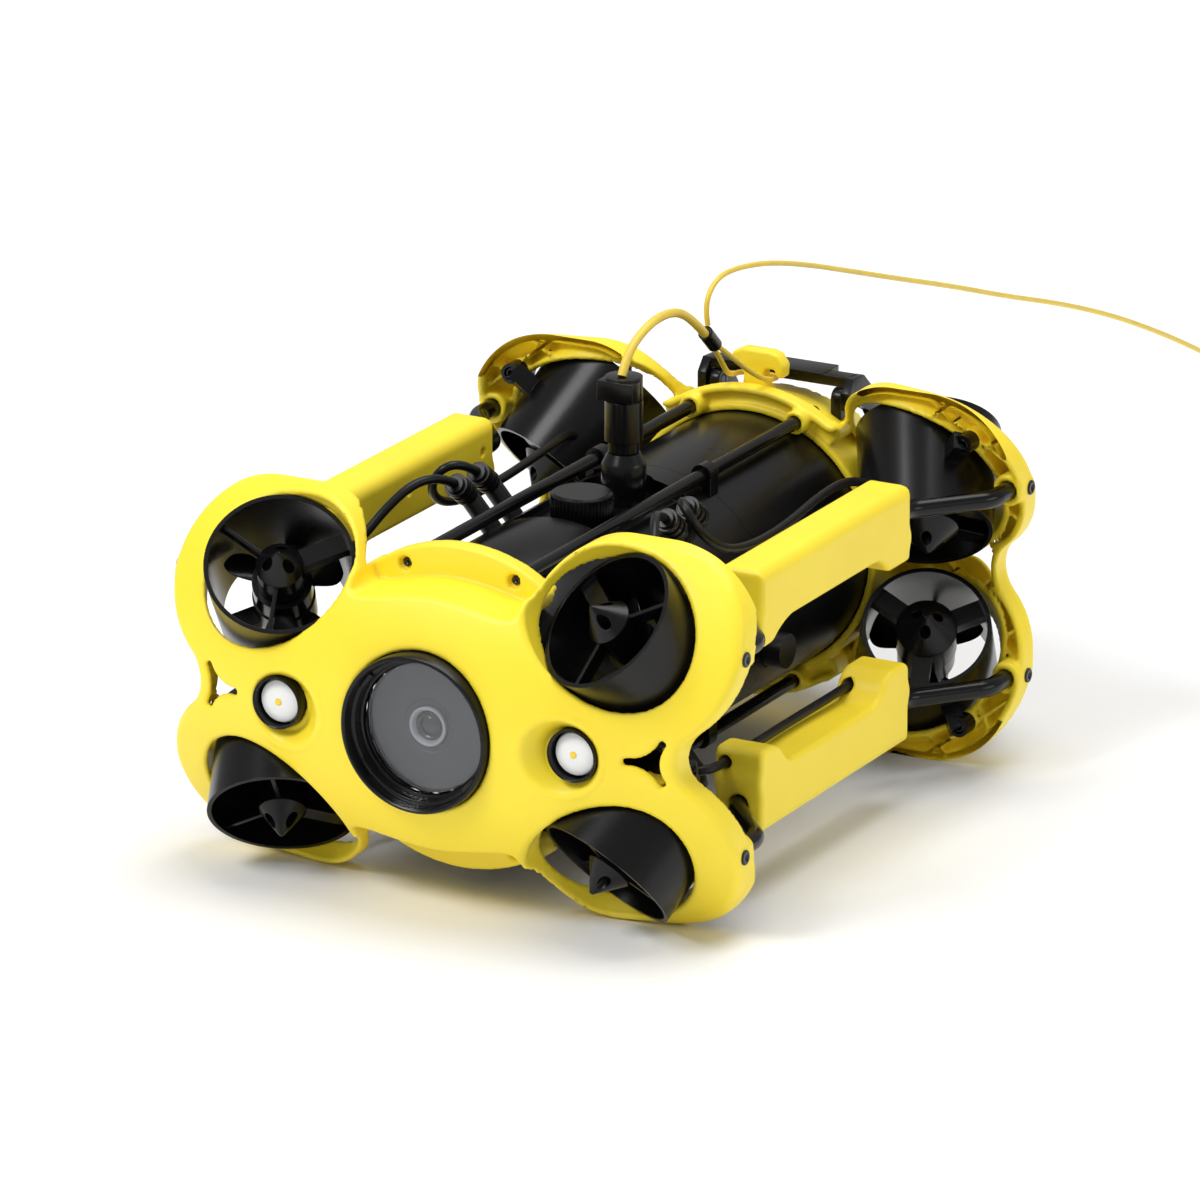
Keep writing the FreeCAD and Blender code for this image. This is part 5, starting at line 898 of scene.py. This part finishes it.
def knurl_tree():
    """Ribs set round a circle, each a small upright bar."""
    tree = bpy.data.node_groups.new("knurled_grip", "GeometryNodeTree")
    for name in ("Radius", "Height", "Rib"):
        tree.interface.new_socket(name, in_out="INPUT", socket_type="NodeSocketFloat")
    tree.interface.new_socket("Count", in_out="INPUT", socket_type="NodeSocketInt")
    tree.interface.new_socket("Finish", in_out="INPUT", socket_type="NodeSocketMaterial")
    tree.interface.new_socket("Geometry", in_out="OUTPUT", socket_type="NodeSocketGeometry")
    nodes, links = tree.nodes, tree.links
    start, end = nodes.new("NodeGroupInput"), nodes.new("NodeGroupOutput")
    circle = nodes.new("GeometryNodeMeshCircle")
    links.new(start.outputs["Count"], circle.inputs["Vertices"])
    links.new(start.outputs["Radius"], circle.inputs["Radius"])
    rib = nodes.new("GeometryNodeMeshCylinder")
    rib.inputs["Vertices"].default_value = 6
    links.new(start.outputs["Rib"], rib.inputs["Radius"])
    links.new(start.outputs["Height"], rib.inputs["Depth"])
    spread = nodes.new("GeometryNodeInstanceOnPoints")
    links.new(circle.outputs["Mesh"], spread.inputs["Points"])
    links.new(rib.outputs["Mesh"], spread.inputs["Instance"])
    real = nodes.new("GeometryNodeRealizeInstances")
    links.new(spread.outputs["Instances"], real.inputs["Geometry"])
    finish = nodes.new("GeometryNodeSetMaterial")
    links.new(real.outputs["Geometry"], finish.inputs["Geometry"])
    links.new(start.outputs["Finish"], finish.inputs["Material"])
    links.new(finish.outputs["Geometry"], end.inputs["Geometry"])
    return tree


def from_tree(name, tree, values, base=None):
    """Plain mesh piece from a node tree's result."""
    holder = bpy.data.objects.new(name + "_holder", base or bpy.data.meshes.new(name + "_base"))
    scene.collection.objects.link(holder)
    modifier = holder.modifiers.new("make", "NODES")
    modifier.node_group = tree
    for item in tree.interface.items_tree:
        if item.in_out == "INPUT" and item.name in values:
            modifier[item.identifier] = values[item.name]
    bpy.context.view_layer.update()
    result = holder.evaluated_get(bpy.context.evaluated_depsgraph_get())
    mesh = bpy.data.meshes.new_from_object(result)
    mesh.name = name
    bpy.data.objects.remove(holder)
    piece = bpy.data.objects.new(name, mesh)
    scene.collection.objects.link(piece)
    return piece


cap_low, cap_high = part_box("port_cap")
cap_middle = (cap_low + cap_high) / 2
cap_radius = (cap_high.x - cap_low.x) / 2
grip_count = 48
grip_rib = 0.9 * MM
grip_height = 11.6 * MM
grip_inset, grip_drop = 0.3 * MM, 0.9 * MM
grip = from_tree("port_cap_grip", knurl_tree(), {"Radius": cap_radius - grip_inset, "Height": grip_height,
                                                 "Rib": grip_rib, "Count": grip_count, "Finish": black_satin})
grip_middle = cap_high.z - grip_drop - grip_height / 2
grip.data.transform(Matrix.Translation((cap_middle.x, cap_middle.y, grip_middle)))
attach(grip, "charging_cap")

# ------------------------------------------------------------------ screws
# Dark stainless socket screws: button heads that pin the side tubes, cap heads in the duct ears,
# and short ones sunk in the ledges, in line with the tie rods. The latch turns on two steel pins.

screw_steel = moulded("screw_steel", (0.06, 0.06, 0.065), (0.035, 0.035, 0.04),
                      rough=(0.22, 0.34), metallic=1.0)


def socket_screw(name, head, height, hexagon, shank, length):
    """One socket screw along +Z: its shank below zero, its head above."""
    steps = 24
    mesh = bpy.data.meshes.new(name)
    work = bmesh.new()
    rows = [[(shank, -length)] * steps, [(shank, 0)] * steps, [(head, 0)] * steps,
            [(head, height * 0.7)] * steps,
            [(head * 0.93, height * 0.92)] * steps, [(head * 0.8, height)] * steps]
    flats = [hexagon / math.cos(((step * 15) % 60 - 30) * math.pi / 180) for step in range(steps)]
    rows += [[(flat, height) for flat in flats], [(flat, height * 0.35) for flat in flats]]
    rings = [[work.verts.new((radius * math.cos(2 * math.pi * step / steps) * MM,
                              radius * math.sin(2 * math.pi * step / steps) * MM, level * MM))
              for step, (radius, level) in enumerate(row)] for row in rows]
    for near, far in zip(rings, rings[1:]):
        for step in range(steps):
            after = (step + 1) % steps
            work.faces.new((near[step], near[after], far[after], far[step]))
    work.faces.new(rings[0][::-1])
    work.faces.new(rings[-1])
    for face in work.faces:
        face.smooth = True
    for edge in work.edges:
        edge.smooth = edge.calc_face_angle(0) < math.radians(32)
    work.to_mesh(mesh)
    work.free()
    return bpy.data.objects.new(name, mesh)


def screw_tree():
    """A screw set on every point of a base mesh, turned to the point's normal."""
    tree = bpy.data.node_groups.new("screw_set", "GeometryNodeTree")
    tree.interface.new_socket("Geometry", in_out="INPUT", socket_type="NodeSocketGeometry")
    tree.interface.new_socket("Screw", in_out="INPUT", socket_type="NodeSocketObject")
    tree.interface.new_socket("Finish", in_out="INPUT", socket_type="NodeSocketMaterial")
    tree.interface.new_socket("Geometry", in_out="OUTPUT", socket_type="NodeSocketGeometry")
    nodes, links = tree.nodes, tree.links
    start, end = nodes.new("NodeGroupInput"), nodes.new("NodeGroupOutput")
    info = nodes.new("GeometryNodeObjectInfo")
    links.new(start.outputs["Screw"], info.inputs["Object"])
    lean = nodes.new("GeometryNodeInputNamedAttribute")
    lean.data_type = "FLOAT_VECTOR"
    lean.inputs["Name"].default_value = "lean"
    turn = nodes.new("FunctionNodeAlignRotationToVector")
    turn.axis = "Z"
    links.new(lean.outputs["Attribute"], turn.inputs["Vector"])
    spread = nodes.new("GeometryNodeInstanceOnPoints")
    links.new(start.outputs["Geometry"], spread.inputs["Points"])
    links.new(info.outputs["Geometry"], spread.inputs["Instance"])
    links.new(turn.outputs["Rotation"], spread.inputs["Rotation"])
    real = nodes.new("GeometryNodeRealizeInstances")
    links.new(spread.outputs["Instances"], real.inputs["Geometry"])
    finish = nodes.new("GeometryNodeSetMaterial")
    links.new(real.outputs["Geometry"], finish.inputs["Geometry"])
    links.new(start.outputs["Finish"], finish.inputs["Material"])
    links.new(finish.outputs["Geometry"], end.inputs["Geometry"])
    return tree


screw_maker = screw_tree()
side_station, side_face = 38, 132.5
ear_middle, ear_reach = -11, 113.2
ledge_head = 40.6
side_places, ear_places, ledge_places = [], [], []
for front, apex in ((1, bow), (-1, stern)):
    for side in (1, -1):
        for rise in (1, -1):
            side_places.append(((side_face * side, apex + side_station * front, hull_axis + tube_z * rise),
                                (side, 0, 0)))
            ear_places.append(((ear_x * side, ear_middle - ear_reach * front, hull_axis + ear_z * rise),
                               (0, front, 0)))
            if front > 0:
                ledge_places.append(((rod_x * side, apex + ledge_head, hull_axis + rod_z * rise), (0, -1, 0)))
# head radius and height, half width of the hexagon, shank radius and length
for name, sizes, places, node in (
        ("side_screw_set", (3.2, 1.1, 1.3, 1.5, 2), side_places, "side_screws"),
        ("ear_screw_set", (2.8, 2.6, 1.3, 1.5, 8), ear_places, "ear_screws"),
        ("ledge_screw_set", (1.9, 0.6, 0.9, 1.2, 6), ledge_places, "ledge_screws")):
    base = bpy.data.meshes.new(name + "_points")
    base.from_pydata([[value * MM for value in place] for place, lean in places], [], [])
    lean_values = base.attributes.new("lean", "FLOAT_VECTOR", "POINT")
    for index, (place, lean) in enumerate(places):
        lean_values.data[index].vector = lean
    sample = socket_screw(name + "_sample", *sizes)
    screws = from_tree(name, screw_maker, {"Screw": sample, "Finish": screw_steel}, base)
    bpy.data.objects.remove(sample)
    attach(screws, "frame")
    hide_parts(node)
welded("latch_pins", screw_steel, "frame")
